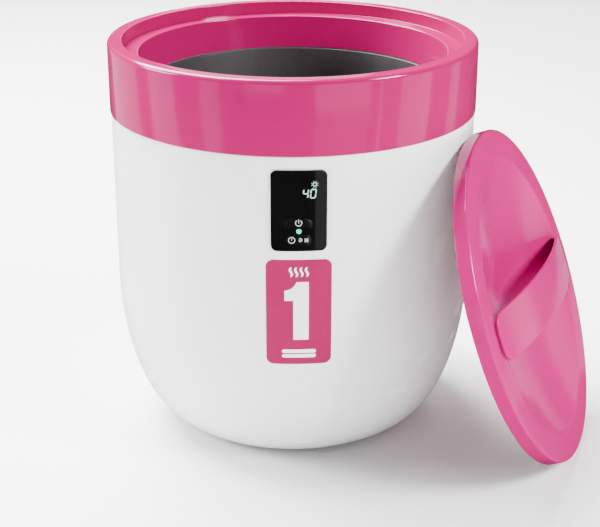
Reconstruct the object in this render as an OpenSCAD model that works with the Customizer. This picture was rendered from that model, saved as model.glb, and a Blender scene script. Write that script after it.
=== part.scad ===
// Towel warmer bucket: an open heated tub with its lid leaning against its side.
// Millimetres, +Z up. The origin is on the tub's axis, on the surface it stands on.
// The control panel faces -Y.

/* [Casing] */
// Height of the tub, from the surface it stands on to the top of the collar
total_h = 327; // [310:1:350]
// Outer radius of the white casing
body_r = 149; // [144:0.5:156]
// Thickness of the casing's wall
shell_wall = 2.6; // [2.2:0.1:3.2]
// Height at which the casing starts to curve in towards its base
curve_z = 132; // [115:1:150]
// Radius of the casing's flat bottom
flat_r = 96; // [92:1:104]
// Number of straight steps in the casing's curve
curve_steps = 20; // [14:1:30]
// Gap seen between the casing and the collar
seam_gap = 0.4; // [0.2:0.1:0.8]

/* [Collar] */
// How far the collar stands out past the casing
collar_step = 1; // [0.6:0.1:2]
// Height of the collar's outer band
collar_h = 56.5; // [50:0.5:64]
// Thickness of the collar's walls
collar_wall = 3; // [2.6:0.1:3.4]
// Rounding of the collar's outer top edge
collar_round = 3.6; // [2:0.1:5]
// Width of the collar's flat top, from its outer face to the lid seat
rim_w = 12; // [11:0.5:14]
// Rounding of the edge where the collar's top meets the lid seat
seat_round = 1; // [0.5:0.1:1.5]
// Depth of the lid seat below the collar's top
seat_depth = 10.5; // [9:0.5:13]
// Width of the ledge that the lid rests on
ledge_w = 13; // [11:0.5:15]
// Rounding of the ledge's inner edge
ledge_round = 1.2; // [0.6:0.1:2]
// Depth of the collar's throat, from the collar's top to the dark liner
throat_depth = 38.5; // [34:0.5:44]
// How much narrower the throat is at its bottom than at its top
throat_taper = 3.4; // [2:0.1:5]

/* [Liner and heater] */
// Thickness of the liner's sheet
liner_t = 1.2; // [0.8:0.1:2]
// How far the liner's wall stands back from the throat
liner_back = 1.8; // [1:0.1:3]
// Width of the liner's flange
flange_w = 15.6; // [15.2:0.1:15.8]
// Height of the liner's floor above the surface the tub stands on
chamber_floor = 67; // [62:1:80]
// Rounding of the liner's bottom corner
liner_round = 18; // [10:1:26]
// Thickness of the gasket between the collar and the liner
gasket_t = 1; // [0.6:0.1:1.5]
// Thickness of the heating belt
belt_t = 0.8; // [0.5:0.1:1.2]
// Height of the heating belt
belt_h = 160; // [120:5:170]
// Width of the slit between the heating belt's ends
belt_slit = 14; // [12:1:20]
// Thickness of the insulation wrap
wrap_t = 9.8; // [8:0.2:10.4]
// Thickness of the insulation under the liner
pad_t = 10; // [6:1:12]
// Radius of the insulation under the liner
pad_r = 96; // [80:1:100]

/* [Base] */
// How far the feet hold the casing off the surface
foot_h = 2.5; // [2:0.5:4]
// Radius of a rubber foot
foot_r = 8; // [6:0.5:9]
// Distance of the feet from the tub's axis
foot_ring_r = 68; // [62:1:70]
// Depth of the pockets that hold the feet
foot_pocket = 1.2; // [0.8:0.1:1.6]
// Thickness of the base cover
base_t = 3.2; // [3:0.1:4]
// Radius of the base cover
base_r = 91.6; // [91:0.1:92]
// Width of the flange that the base cover is screwed to
base_flange_w = 8; // [7.6:0.1:9]
// Number of base screws, and of feet round the middle one
base_screws_n = 4; // [3:1:6]
// Length of the power board
board_l = 84; // [70:1:90]
// Width of the power board
board_w = 64; // [54:1:70]
// Height of the posts under the power board
post_h = 6; // [4:1:10]

/* [Control panel] */
// Width of the glossy window
panel_w = 42; // [40:0.5:46]
// Height of the glossy window
panel_h = 63; // [61:0.5:68]
// Corner radius of the window
panel_corner = 4.6; // [3:0.1:6]
// Distance from the collar's top down to the window's centre
panel_drop = 98.4; // [94:0.2:104]
// How far the window stands out of the casing
window_proud = 1.2; // [0.8:0.1:2]
// How far the window laps over the casing all round
window_lap = 2.2; // [1.8:0.1:2.3]
// Depth of the housing behind the window
housing_depth = 13.4; // [12.6:0.1:13.6]
// Wall of the housing
housing_wall = 1.6; // [1.2:0.1:2]
// Width of the power button
power_w = 20; // [16:0.5:24]
// Height of the power button
power_h = 8.6; // [7:0.2:9]
// Width of the timer button
timer_w = 18.6; // [14:0.2:22]
// Height of the timer button
timer_h = 8.4; // [6:0.2:9]
// Height of the power button's centre below the window's centre
power_drop = 8.9; // [8:0.1:9.4]
// Height of the timer button's centre below the window's centre
timer_drop = 22.8; // [22:0.1:23.4]
// Radius of the indicator light
light_r = 1.9; // [1.4:0.1:2]
// Height of the indicator light's centre below the window's centre
light_drop = 15.8; // [15.6:0.1:16]
// Gap round a button
button_gap = 0.3; // [0.2:0.05:0.5]
// How far a button stands out of the window
button_proud = 0.3; // [0.1:0.1:0.6]
// Travel of a button
button_travel = 0.8; // [0.4:0.1:1]

/* [Label] */
// Width of the label on the front
label_w = 50; // [40:1:60]
// Height of the label
label_h = 87; // [70:1:100]
// Corner radius of the label
label_corner = 6; // [3:0.5:9]
// Gap between the window and the label
label_gap = 7.3; // [4:0.1:12]
// Thickness of the label
label_t = 0.35; // [0.2:0.05:0.6]

/* [Cord inlet] */
// Height of the cord gland's axis
gland_z = 58; // [52:1:62]
// Radius of the cord gland's bore
gland_bore_r = 3.6; // [3:0.1:4]
// Radius of the gland's body
gland_r = 6; // [5.5:0.1:6.5]
// Radius of the gland's outer flange
gland_flange_r = 8.5; // [8:0.1:9.5]
// Length of the gland's body between its two flanges
gland_body_l = 10.5; // [10:0.5:13]

/* [Lid] */
// Gap between the lid's edge and the lid seat
lid_gap = 0.7; // [0.4:0.1:1.2]
// Thickness of the lid's edge
lid_edge_t = 11.6; // [10:0.2:13]
// Rounding of the lid's upper edge
lid_round = 1.8; // [1:0.1:3]
// Thickness of the lid's wall
lid_wall = 2.6; // [2:0.1:3]
// Width of the lid's flat face, from its edge to the dish
lid_face_w = 23.3; // [20:0.1:28]
// Depth of the dish below the lid's flat face
dish_depth = 18; // [14:0.5:19]
// How much shallower the dish is on the ledge along its near side, reckoned at its middle
ledge_rise = 9; // [4:0.5:10]
// Distance from the dish's middle to the ledge
ledge_in = 63; // [56:1:90]
// Radius of the ledge's curved edge
ledge_r = 170; // [140:1:200]
// Turn of the ledge from the strap's near end
ledge_turn = -11.8; // [-20:0.2:20]
// How flat the middle of the dish is: 2 is a parabola, and more is flatter
dish_power = 2.4; // [2:0.1:3]
// Number of straight steps in the dish's curve
dish_steps = 14; // [10:1:24]
// How much smaller than the dish the pan under it is
pan_in = 10; // [8:0.5:17]
// Distance from the lid's flat face to the pan's underside
pan_drop = 24; // [23.4:0.2:26]
// Thickness of the lid's under cover
cover_t = 2.2; // [1.8:0.1:2.6]
// Distance from the under cover's edge to the lid's seal
seal_in = 2.8; // [2:0.1:3.2]
// Width of the lid's seal
seal_w = 4; // [3:0.5:4.5]
// Height of the lid's seal
seal_h = 1.8; // [1.4:0.1:2]
// How far the seal stands out of the under cover
seal_proud = 0.8; // [0.5:0.1:1]

/* [Handle] */
// Width of the strap handle
strap_w = 38; // [30:1:44]
// Thickness of the strap
strap_t = 2.6; // [2:0.1:3.2]
// How much higher the strap is at its middle than at its ends
strap_rise = 12.8; // [8:0.2:16]
// Gap between the strap's ends and the lid's flat face
strap_gap = 0.1; // [0.05:0.05:0.3]
// How far the strap's ends reach past the dish
strap_lap = 4; // [3:0.5:8]
// Corner radius of the strap's ends
tab_corner = 13; // [6:0.5:14]

/* [Leaning lid] */
// Lean of the lid, back from upright
lean = 20.8; // [15:0.1:25]
// Direction that the lid's outer face points in, round the tub's axis
lean_turn = -21.5; // [-40:0.5:0]
// How far the lid's middle lies to one side of the line it leans along
lean_side = -8.8; // [-14:0.2:14]
// Turn of the lid about its own axis
lid_roll = -4.2; // [-20:0.2:20]
// Gap left between the lid and the casing where it leans
lean_gap = 0.3; // [0.2:0.05:0.6]

/* [Hidden] */

$fn = 144;
// A small overlap for cuts that pass through a face
eps = 0.1;
// Clearance between parts that only lie against each other
touch_gap = 0.05;

// Heights and radii that follow from the sizes above
collar_r = body_r + collar_step;
collar_z = total_h - collar_h;
seat_r = collar_r - rim_w;
seat_z = total_h - seat_depth;
throat_r = seat_r - ledge_w;
throat_low_r = throat_r - throat_taper;
liner_z = total_h - throat_depth;
liner_r = throat_low_r - liner_back;
liner_out_r = liner_r + liner_t;
flange_r = liner_out_r + flange_w;
throat_z = liner_z + gasket_t;
neck_clear = 0.3;
neck_r = collar_r - collar_wall - neck_clear;
neck_z = liner_z - liner_t;
neck_flange_t = 2.6;
neck_flange_r = flange_r + 0.4;
neck_bevel = 4;
// Screw circles of the liner's flange and of the casing's neck
ring_screws_n = 4;
liner_screw_r = (throat_r + collar_wall + seat_r) / 2;
collar_screw_r = (neck_flange_r + neck_r - shell_wall) / 2;
curve_a = body_r - flat_r;
curve_b = curve_z - foot_h;

// Small self-tapping screws, all alike
screw_r = 1.45;
screw_head_r = 2.8;
screw_head_h = 2;
screw_slot_w = 0.8;
screw_slot_h = 0.8;
pilot_r = screw_r + touch_gap;
screw_hole_r = screw_r + 0.3;
boss_r = 3.5;
// How deep a screw goes into a collar boss, and how much deeper its hole is
screw_hold = 8.8;
pilot_spare = 3;
// The same for the shallow bosses of the lid and of the casing behind the panel
lid_screw_hold = 5;
ear_screw_hold = 3;
shallow_spare = 0.8;

// Base
base_z = foot_h;
base_flange_z = base_z + base_t;
base_step_r = base_r + 0.4;
base_flange_r = base_step_r - base_flange_w;
base_screw_r = (base_flange_r + base_step_r) / 2;
base_boss_h = 8;
head_recess = 2.2;
board_t = 1.6;
board_z = base_flange_z + post_h;
board_y = 4;
post_inset = 6;
post_r = 3.4;
cover_ring_t = 2;
cover_ring_h = 3;
// Sizes of the power board's parts
transformer = [24, 22, 17];
relay = [19, 15, 15];
capacitor_r = 5;
capacitor_h = 20;
socket = [13, 6.6, 7.4];
socket_in = 1;

// Heating belt and insulation
belt_r = liner_out_r + touch_gap;
belt_mid_z = chamber_floor + (liner_z - chamber_floor) * 0.48;
wrap_r = belt_r + belt_t + 0.25;
wrap_low = chamber_floor + liner_round - 12;
wrap_top = neck_z - neck_flange_t - 2;
pad_z = chamber_floor - liner_t - touch_gap;
cutoff_r = 8;
cutoff_h = 7;
cutoff_ear = 4;
cutoff_tab_h = 6;
sensor_w = 7;
sensor_h = 12;
sensor_t = 3;

// Control panel
panel_z = total_h - panel_drop;
window_back_r = body_r + touch_gap;
window_r = body_r + window_proud;
cut_w = panel_w - 2 * window_lap;
cut_h = panel_h - 2 * window_lap;
cut_corner = max(panel_corner - window_lap, 1);
housing_clear = 0.3;
housing_w = cut_w - 2 * housing_clear;
housing_h = cut_h - 2 * housing_clear;
// The housing's front sits just behind the window's curved back
housing_front_y = -sqrt(pow(body_r, 2) - pow(panel_w / 2, 2)) + 0.6;
housing_back_y = -body_r + shell_wall + housing_depth;
ear_w = 7;
ear_h = 9;
ear_t = 2;
ear_reach = housing_w / 2 + ear_w;
ear_screw_x = housing_w / 2 + ear_w - 3.4;
ear_screw_rise = housing_h / 2 - ear_h / 2 - 2;
// The casing's inner face is nearest the ears at their outer edges
ear_y = -sqrt(pow(body_r - shell_wall, 2) - pow(ear_reach, 2)) + 2.6;
control_t = 1.4;
control_y = housing_back_y - housing_wall - control_t - 1;
control_clear = 0.6;
switch_size = 5.6;
stem_r = 2.2;
stem_gap = 0.3;
button_back_y = -body_r + 3.4;
switch_front_y = button_back_y + button_travel + stem_gap;
window_hole_corner = 1.2;
module_w = 17;
module_h = 18;
module_x = 7.5;
module_rise = 15.5;
module_front_y = -body_r + 4.2;

// Label
label_z = panel_z - panel_h / 2 - label_gap - label_h / 2;

// Cord gland
gland_boss_r = gland_flange_r + 1.5;
gland_face_y = casing_r(gland_z + gland_boss_r) + 1;
gland_flange_t = 2.5;
gland_barb = 0.7;
gland_barb_l = 2;

// Lid, in its own frame: its flat face lies at height 0 and +Z points out of it
lid_r = seat_r - lid_gap;
dish_r = lid_r - lid_face_w;
pan_r = dish_r - pan_in;
cover_r = lid_r - lid_wall - 0.4;
cover_z = -lid_edge_t;
pan_step = 6;
foam_gap = 0.3;
// The foam starts where there is room for it between the dish and the pan
foam_start_r = 40;
lid_screws_n = 4;
lid_boss_r = 3.6;
seal_r = cover_r - seal_in - seal_w;
lid_screw_ring_r = (pan_r + pan_step - 1 + seal_r) / 2;

// Strap handle, along the lid's own Y
strap_reach = dish_r + strap_lap;
strap_top = strap_gap + strap_t + strap_rise;
strap_arc_r = (pow(strap_reach, 2) + pow(strap_rise, 2)) / (2 * strap_rise);

// Where the lid leans: its lower back edge is on the surface, its upper back edge by the casing
lean_reach = body_r + lean_gap + lid_r * sin(lean) + lid_edge_t * cos(lean);
lean_height = lid_r * cos(lean) + lid_edge_t * sin(lean);

// Outer radius of the casing at a height
function casing_r(z) = z >= curve_z ? body_r
    : flat_r + curve_a * sqrt(max(0, 1 - pow((curve_z - z) / curve_b, 2)));

// Points of the casing's curve, moved inwards by off, from its side down to its flat bottom
function casing_curve(off) = [for (i = [0 : curve_steps])
    let (turn = 90 * i / curve_steps)
    [flat_r + (curve_a - off) * cos(turn), curve_z - (curve_b - off) * sin(turn)]];

function reversed(list) = [for (i = [len(list) - 1 : -1 : 0]) list[i]];

// Points of a quarter circle with its middle at c, from one angle to another
function arc(c, r, from, to, steps = 6) = [for (i = [0 : steps])
    let (turn = from + (to - from) * i / steps)
    [c[0] + r * cos(turn), c[1] + r * sin(turn)]];

// Height of the dish's surface at a radius, for a depth at its middle
function dish_z(r, depth = dish_depth) = -depth * (1 - pow(r / dish_r, dish_power));

// Points of the dish from its rim to its middle, lowered by off
function dish_curve(off, depth = dish_depth) = [for (i = [dish_steps : -1 : 0])
    let (r = dish_r * i / dish_steps)
    [r, dish_z(r, depth) - off]];

// A rectangle with round corners, about the origin
module round_rect(w, h, r) {
    square([w - 2 * r, h], center = true);
    square([w, h - 2 * r], center = true);
    for (x = [-1, 1], y = [-1, 1])
        translate([x * (w / 2 - r), y * (h / 2 - r)]) circle(r, $fn = 48);
}

module ring(r_out, r_in, h) {
    difference() {
        cylinder(r = r_out, h = h);
        translate([0, 0, -eps]) cylinder(r = r_in, h = h + 2 * eps);
    }
}

// Copies round the Z axis
module around(n, r, start = 0) {
    for (i = [0 : n - 1])
        rotate([0, 0, start + 360 * i / n]) translate([r, 0, 0]) children();
}

// Moves a plan drawing to the front, standing at height z, and gives it depth from y0 to y1
module at_front(z, y0, y1) {
    translate([0, y1, z]) rotate([90, 0, 0]) linear_extrude(y1 - y0) children();
}

// A small screw with its head's underside at height 0 and its shank running up
module screw(length) {
    difference() {
        translate([0, 0, -screw_head_h]) cylinder(r = screw_head_r, h = screw_head_h, $fn = 32);
        for (turn = [0, 90]) rotate([0, 0, turn])
            translate([-screw_head_r * 0.6, -screw_slot_w / 2, -screw_head_h - eps])
                cube([screw_head_r * 1.2, screw_slot_w, screw_slot_h + eps]);
    }
    cylinder(r = screw_r, h = length, $fn = 32);
}

// A flat strip along a path in the YZ plane
module ribbon(path, thick, wide) {
    n = len(path);
    sides = [for (i = [0 : n - 1])
        let (a = path[max(i - 1, 0)], b = path[min(i + 1, n - 1)], d = b - a)
        thick / 2 * [-d[1], d[0]] / norm(d)];
    translate([-wide / 2, 0, 0]) rotate([90, 0, 90]) linear_extrude(wide)
        polygon(concat([for (i = [0 : n - 1]) path[i] + sides[i]],
            [for (i = [n - 1 : -1 : 0]) path[i] - sides[i]]));
}

// Puts what is drawn in the lid's own frame where the lid leans
module leaning() {
    rotate([0, 0, lean_turn]) translate([lean_reach, lean_side, lean_height])
        rotate([0, 90 - lean, 0]) rotate([0, 0, lid_roll]) children();
}

module outer_shell() {
    color("white") difference() {
        union() {
            rotate_extrude() polygon(concat(
                [[neck_flange_r, neck_z], [neck_flange_r, neck_z - neck_flange_t],
                 [neck_r - shell_wall, neck_z - neck_flange_t],
                 [neck_r - shell_wall, collar_z - neck_bevel],
                 [body_r - shell_wall, collar_z - 2 * neck_bevel]],
                casing_curve(shell_wall),
                [[base_flange_r, base_flange_z + shell_wall], [base_flange_r, base_flange_z],
                 [base_step_r, base_flange_z], [base_step_r, base_z]],
                reversed(casing_curve(0)),
                [[body_r, collar_z - seam_gap], [neck_r, collar_z - seam_gap], [neck_r, neck_z]]));
            around(base_screws_n, base_screw_r, 45)
                translate([0, 0, base_flange_z]) cylinder(r = boss_r, h = base_boss_h);
            shell_gland_boss();
            for (x = [-1, 1], z = [-1, 1]) ear_boss(x, z);
        }
        around(base_screws_n, base_screw_r, 45)
            translate([0, 0, base_flange_z - eps]) cylinder(r = pilot_r, h = base_boss_h + 2 * eps);
        around(ring_screws_n, collar_screw_r) translate([0, 0, neck_z - neck_flange_t - eps])
            cylinder(r = screw_hole_r, h = neck_flange_t + 2 * eps);
        at_front(panel_z, -body_r - 5, -body_r / 2) round_rect(cut_w, cut_h, cut_corner);
        for (x = [-1, 1], z = [-1, 1]) ear_pilot(x, z);
        translate([0, gland_face_y + eps, gland_z]) rotate([90, 0, 0])
            cylinder(r = gland_r + touch_gap, h = body_r / 2);
    }
}

// The thick pad on the casing that the cord gland passes through
module shell_gland_boss() {
    translate([0, gland_face_y, gland_z]) rotate([90, 0, 0])
        cylinder(r = gland_boss_r, h = gland_body_l - touch_gap);
}

// A peg behind the casing's wall that one ear of the housing is screwed to
module ear_boss(x, z) {
    intersection() {
        translate([x * ear_screw_x, ear_y, panel_z + z * ear_screw_rise]) rotate([90, 0, 0])
            cylinder(r = boss_r - 0.4, h = 12, $fn = 48);
        translate([0, 0, panel_z - panel_h]) cylinder(r = body_r - shell_wall / 2, h = 2 * panel_h);
    }
}

module ear_pilot(x, z) {
    translate([x * ear_screw_x, ear_y + eps, panel_z + z * ear_screw_rise]) rotate([90, 0, 0])
        cylinder(r = pilot_r, h = ear_screw_hold + shallow_spare, $fn = 32);
}

module collar() {
    color("deeppink") difference() {
        union() {
            rotate_extrude() polygon(concat(
                [[collar_r, collar_z]],
                arc([collar_r - collar_round, total_h - collar_round], collar_round, 0, 90, 8),
                arc([seat_r + seat_round, total_h - seat_round], seat_round, 90, 180),
                [[seat_r, seat_z]],
                arc([throat_r + ledge_round, seat_z - ledge_round], ledge_round, 90, 180),
                [[throat_low_r, throat_z], [throat_low_r + collar_wall, throat_z],
                 [throat_r + collar_wall, seat_z - collar_wall],
                 [seat_r + collar_wall, seat_z - collar_wall],
                 [seat_r + collar_wall, total_h - collar_wall],
                 [collar_r - collar_wall, total_h - collar_wall],
                 [collar_r - collar_wall, collar_z]]));
            around(ring_screws_n, liner_screw_r, 45) translate([0, 0, liner_z])
                cylinder(r = boss_r, h = seat_z - collar_wall - liner_z + 1);
            around(ring_screws_n, collar_screw_r) translate([0, 0, neck_z])
                cylinder(r = boss_r - 0.1, h = seat_z - collar_wall - neck_z + 1);
        }
        around(ring_screws_n, liner_screw_r, 45) translate([0, 0, liner_z - eps])
            cylinder(r = pilot_r, h = screw_hold + pilot_spare);
        around(ring_screws_n, collar_screw_r) translate([0, 0, neck_z - eps])
            cylinder(r = pilot_r, h = screw_hold + pilot_spare);
    }
}

module inner_liner() {
    color([0.2, 0.2, 0.2]) difference() {
        rotate_extrude() polygon(concat(
            [[flange_r, liner_z], [liner_r, liner_z]],
            arc([liner_r - liner_round, chamber_floor + liner_round], liner_round, 0, -90, 8),
            [[0, chamber_floor], [0, chamber_floor - liner_t]],
            arc([liner_r - liner_round, chamber_floor + liner_round], liner_round + liner_t, -90, 0, 8),
            [[liner_out_r, liner_z - liner_t], [flange_r, liner_z - liner_t]]));
        around(ring_screws_n, liner_screw_r, 45) translate([0, 0, liner_z - liner_t - eps])
            cylinder(r = screw_hole_r, h = liner_t + 2 * eps);
    }
}

module liner_gasket() {
    color([0.85, 0.85, 0.82]) translate([0, 0, liner_z])
        ring(throat_low_r + collar_wall, throat_low_r + 0.4, gasket_t);
}

module heating_belt() {
    color([0.75, 0.35, 0.1]) difference() {
        translate([0, 0, belt_mid_z - belt_h / 2]) ring(belt_r + belt_t, belt_r, belt_h);
        translate([-belt_slit / 2, 0, 0]) cube([belt_slit, body_r, total_h]);
    }
}

module insulation_wrap() {
    color([0.93, 0.9, 0.8]) difference() {
        translate([0, 0, wrap_low]) ring(wrap_r + wrap_t, wrap_r, wrap_top - wrap_low);
        // Room for the sensor, and for the lead that runs down from the belt
        translate([-belt_slit / 2, 0, wrap_low - eps])
            cube([belt_slit, wrap_r + 5.5, belt_mid_z + sensor_h - wrap_low]);
    }
}

module base_insulation() {
    color([0.93, 0.9, 0.8]) translate([0, 0, pad_z - pad_t]) ring(pad_r, cutoff_r + 6, pad_t);
}

module temperature_sensor() {
    color([0.1, 0.1, 0.1]) translate([-sensor_w / 2, liner_out_r + 0.2, belt_mid_z - sensor_h / 2])
        cube([sensor_w, sensor_t, sensor_h]);
}

module thermal_cutoff() {
    color("silver") translate([0, 0, pad_z - cutoff_h]) {
        cylinder(r = cutoff_r, h = cutoff_h);
        translate([-cutoff_r - cutoff_ear, -3, cutoff_h - 1]) cube([2 * (cutoff_r + cutoff_ear), 6, 1]);
        for (x = [-1, 1]) translate([x * cutoff_r / 2 - 0.4, -2, -cutoff_tab_h])
            cube([0.8, 4, cutoff_tab_h + eps]);
    }
}

module liner_screws() {
    color("silver") around(ring_screws_n, liner_screw_r, 45)
        translate([0, 0, liner_z - liner_t - touch_gap]) screw(liner_t + screw_hold);
}

module collar_screws() {
    color("silver") around(ring_screws_n, collar_screw_r)
        translate([0, 0, neck_z - neck_flange_t - touch_gap]) screw(neck_flange_t + screw_hold);
}

module base_cover() {
    color([0.9, 0.9, 0.9]) difference() {
        union() {
            translate([0, 0, base_z]) cylinder(r = base_r, h = base_t);
            for (x = [-1, 1], y = [-1, 1]) board_post(x, y)
                translate([0, 0, base_flange_z - eps]) cylinder(r = post_r, h = post_h + eps);
            // A stiffening ring inside
            translate([0, 0, base_flange_z - eps])
                ring(base_flange_r - 0.6, base_flange_r - 0.6 - cover_ring_t, cover_ring_h);
        }
        around(base_screws_n, base_screw_r, 45) {
            translate([0, 0, base_z - eps]) cylinder(r = screw_hole_r, h = base_t + 2 * eps);
            translate([0, 0, base_z - eps]) cylinder(r = screw_head_r + 0.3, h = head_recess + eps);
        }
        at_feet() translate([0, 0, base_z - eps]) cylinder(r = foot_r + 0.1, h = foot_pocket + eps);
        for (x = [-1, 1], y = [-1, 1]) board_post(x, y)
            translate([0, 0, base_flange_z]) cylinder(r = pilot_r, h = post_h + eps, $fn = 32);
    }
}

// The place of one of the posts under the power board
module board_post(x, y) {
    translate([x * (board_l / 2 - post_inset), board_y + y * (board_w / 2 - post_inset), 0]) children();
}

module base_screws() {
    color("silver") around(base_screws_n, base_screw_r, 45)
        translate([0, 0, base_z + head_recess]) screw(base_t - head_recess + base_boss_h);
}

// The places of the feet: one in the middle, the others round it
module at_feet() {
    children();
    around(base_screws_n, foot_ring_r) children();
}

module rubber_feet() {
    color([0.15, 0.15, 0.15]) at_feet()
        rotate_extrude($fn = 64) polygon(concat([[0, 0]],
            arc([foot_r - 1, 1], 1, -90, 0),
            [[foot_r, foot_h + foot_pocket], [0, foot_h + foot_pocket]]));
}

module power_board() {
    color([0.1, 0.45, 0.2]) difference() {
        translate([-board_l / 2, board_y - board_w / 2, board_z]) cube([board_l, board_w, board_t]);
        for (x = [-1, 1], y = [-1, 1]) board_post(x, y)
            translate([0, 0, board_z - eps]) cylinder(r = screw_hole_r, h = board_t + 2 * eps);
    }
    color("gold") on_board(-board_l / 6, 0, transformer);
    color([0.1, 0.1, 0.1]) on_board(board_l / 5, -board_w / 6, relay);
    color("navy") for (x = [-1, 1])
        translate([board_l / 5 + x * (capacitor_r + 1), board_y + board_w / 5, board_z + board_t])
            cylinder(r = capacitor_r, h = capacitor_h, $fn = 32);
    // Sockets for the ribbon and for the lead
    color("white") for (y = [-1, 1]) on_board(0, y * (board_w / 2 - socket_in - socket[1] / 2), socket);
}

// A block that stands on the power board, about a point of it
module on_board(x, y, size) {
    translate([x - size[0] / 2, board_y + y - size[1] / 2, board_z + board_t]) cube(size);
}

module board_screws() {
    color("silver") for (x = [-1, 1], y = [-1, 1]) board_post(x, y)
        translate([0, 0, board_z + board_t]) rotate([180, 0, 0]) screw(post_h - 1 + board_t);
}

// Points of a strip that hangs between two points, its middle lower than a straight line by drop
function hanging(a, b, drop, n = 5) = [for (i = [1 : n - 1])
    let (t = i / n)
    a + (b - a) * t - [0, 4 * drop * t * (1 - t)]];

// The ribbon from the control board, down behind the casing's wall, to the power board
cable_t = 1;
cable_w = 12;
cable_drop = 8;
cable_in_y = control_y + control_t + cable_t / 2 + 0.2;
cable_y = -(wrap_r + wrap_t + 3.2);
cable_low = [cable_y, wrap_low];
cable_end = [board_y - board_w / 2 - cable_w, board_z + board_t + socket[2] / 2];
panel_cable_path = concat(
    [[cable_in_y, panel_z - housing_h / 2 + 7], [cable_in_y, panel_z - housing_h / 2 + 2],
     [cable_y, panel_z - housing_h / 2 - 8], cable_low],
    hanging(cable_low, cable_end, cable_drop),
    [cable_end, cable_end + [cable_w + socket_in - touch_gap, 0]]);

module panel_cable() {
    color([0.6, 0.6, 0.62]) ribbon(panel_cable_path, cable_t, cable_w);
}

// The flat lead from the heating belt, down the slit in the insulation, to the power board
lead_t = 2;
lead_w = 5;
lead_drop = 4;
lead_y = belt_r + lead_t / 2 + 1.4;
lead_low = [lead_y + 1, wrap_low - 6];
lead_end = [board_y + board_w / 2 + 2 * lead_w, board_z + board_t + socket[2] / 2];
heater_lead_path = concat(
    [[lead_y, belt_mid_z - sensor_h], [lead_y, wrap_low + 10], lead_low],
    hanging(lead_low, lead_end, lead_drop),
    [lead_end, lead_end - [2 * lead_w + socket_in - touch_gap, 0]]);

module heater_lead() {
    color([0.8, 0.75, 0.7]) ribbon(heater_lead_path, lead_t, lead_w);
}

module cord_gland() {
    color([0.12, 0.12, 0.12]) translate([0, gland_face_y, gland_z]) rotate([90, 0, 0])
        rotate_extrude() polygon([
            [gland_bore_r, -gland_flange_t], [gland_flange_r - 0.8, -gland_flange_t],
            [gland_flange_r, -gland_flange_t + 0.8], [gland_flange_r, 0], [gland_r, 0],
            [gland_r, gland_body_l], [gland_r + gland_barb, gland_body_l],
            [gland_r, gland_body_l + gland_barb_l], [gland_bore_r, gland_body_l + gland_barb_l]]);
}

module panel_housing() {
    color([0.08, 0.08, 0.08]) difference() {
        union() {
            at_front(panel_z, housing_front_y, housing_back_y)
                round_rect(housing_w, housing_h, cut_corner);
            for (x = [-1, 1], z = [-1, 1])
                translate([x * (housing_w / 2 + ear_w / 2 - 1), ear_y + ear_t / 2 + touch_gap,
                        panel_z + z * ear_screw_rise])
                    cube([ear_w + 2, ear_t, ear_h], center = true);
        }
        at_front(panel_z, -body_r, housing_back_y - housing_wall)
            round_rect(housing_w - 2 * housing_wall, housing_h - 2 * housing_wall, 0.6);
        for (x = [-1, 1], z = [-1, 1])
            translate([x * ear_screw_x, ear_y + ear_t + 1, panel_z + z * ear_screw_rise])
                rotate([90, 0, 0]) cylinder(r = screw_hole_r, h = ear_t + 2);
        // Way out for the ribbon, through the back wall and the bottom wall
        translate([-7, housing_back_y - housing_wall - 2, panel_z - housing_h / 2 - eps])
            cube([14, housing_wall + 2 + eps, 11]);
    }
}

module housing_screws() {
    color("silver") for (x = [-1, 1], z = [-1, 1])
        translate([x * ear_screw_x, ear_y + ear_t + touch_gap, panel_z + z * ear_screw_rise])
            rotate([90, 0, 0]) screw(ear_t + ear_screw_hold);
}

// Outline of the power button: a wide key with an arched top
module power_outline(grow = 0) {
    arch_r = 16.8;
    intersection() {
        square([power_w + 2 * grow, power_h + 2 * grow], center = true);
        translate([0, power_h / 2 - arch_r]) circle(arch_r + grow);
    }
}

module timer_outline(grow = 0) {
    round_rect(timer_w + 2 * grow, timer_h + 2 * grow, timer_h / 2 + grow - 0.01);
}

// A curved slab between two radii, cut to an outline at the front
module front_slab(r_out, r_in, z) {
    intersection() {
        translate([0, 0, z - panel_h]) ring(r_out, r_in, 2 * panel_h);
        at_front(z, -r_out - 5, -r_out / 2) children();
    }
}

module display_window() {
    color([0.02, 0.02, 0.02]) difference() {
        front_slab(window_r, window_back_r, panel_z) round_rect(panel_w, panel_h, panel_corner);
        at_front(panel_z - power_drop, -window_r - 1, -body_r / 2) power_outline(button_gap);
        at_front(panel_z - timer_drop, -window_r - 1, -body_r / 2) timer_outline(button_gap);
        at_front(panel_z - light_drop, -window_r - 1, -body_r / 2) circle(light_r + 0.05, $fn = 48);
    }
}

module display_module() {
    color([0.2, 0.2, 0.22]) translate([module_x - module_w / 2, module_front_y, panel_z + module_rise - module_h / 2])
        cube([module_w, control_y - module_front_y, module_h]);
}

module control_board() {
    color([0.1, 0.4, 0.2])
        translate([-housing_w / 2 + housing_wall + control_clear, control_y,
                panel_z - housing_h / 2 + housing_wall + control_clear])
            cube([housing_w - 2 * (housing_wall + control_clear), control_t,
                housing_h - 2 * (housing_wall + control_clear)]);
}

module button_switches() {
    color([0.15, 0.15, 0.15]) for (drop = [power_drop, timer_drop])
        translate([0, 0, panel_z - drop]) {
            translate([-switch_size / 2, switch_front_y + 1, -switch_size / 2])
                cube([switch_size, control_y - switch_front_y - 1, switch_size]);
            translate([0, switch_front_y, 0]) rotate([-90, 0, 0]) cylinder(r = 1.6, h = 1 + eps, $fn = 32);
        }
}

module light_guide() {
    color([0.3, 1, 0.9]) {
        front_slab(window_r - 0.1, body_r - 3, panel_z - light_drop) circle(light_r, $fn = 48);
        translate([0, -body_r + 2.8, panel_z - light_drop]) rotate([-90, 0, 0])
            cylinder(r = 1.2, h = control_y + body_r - 2.8, $fn = 32);
    }
}

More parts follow.
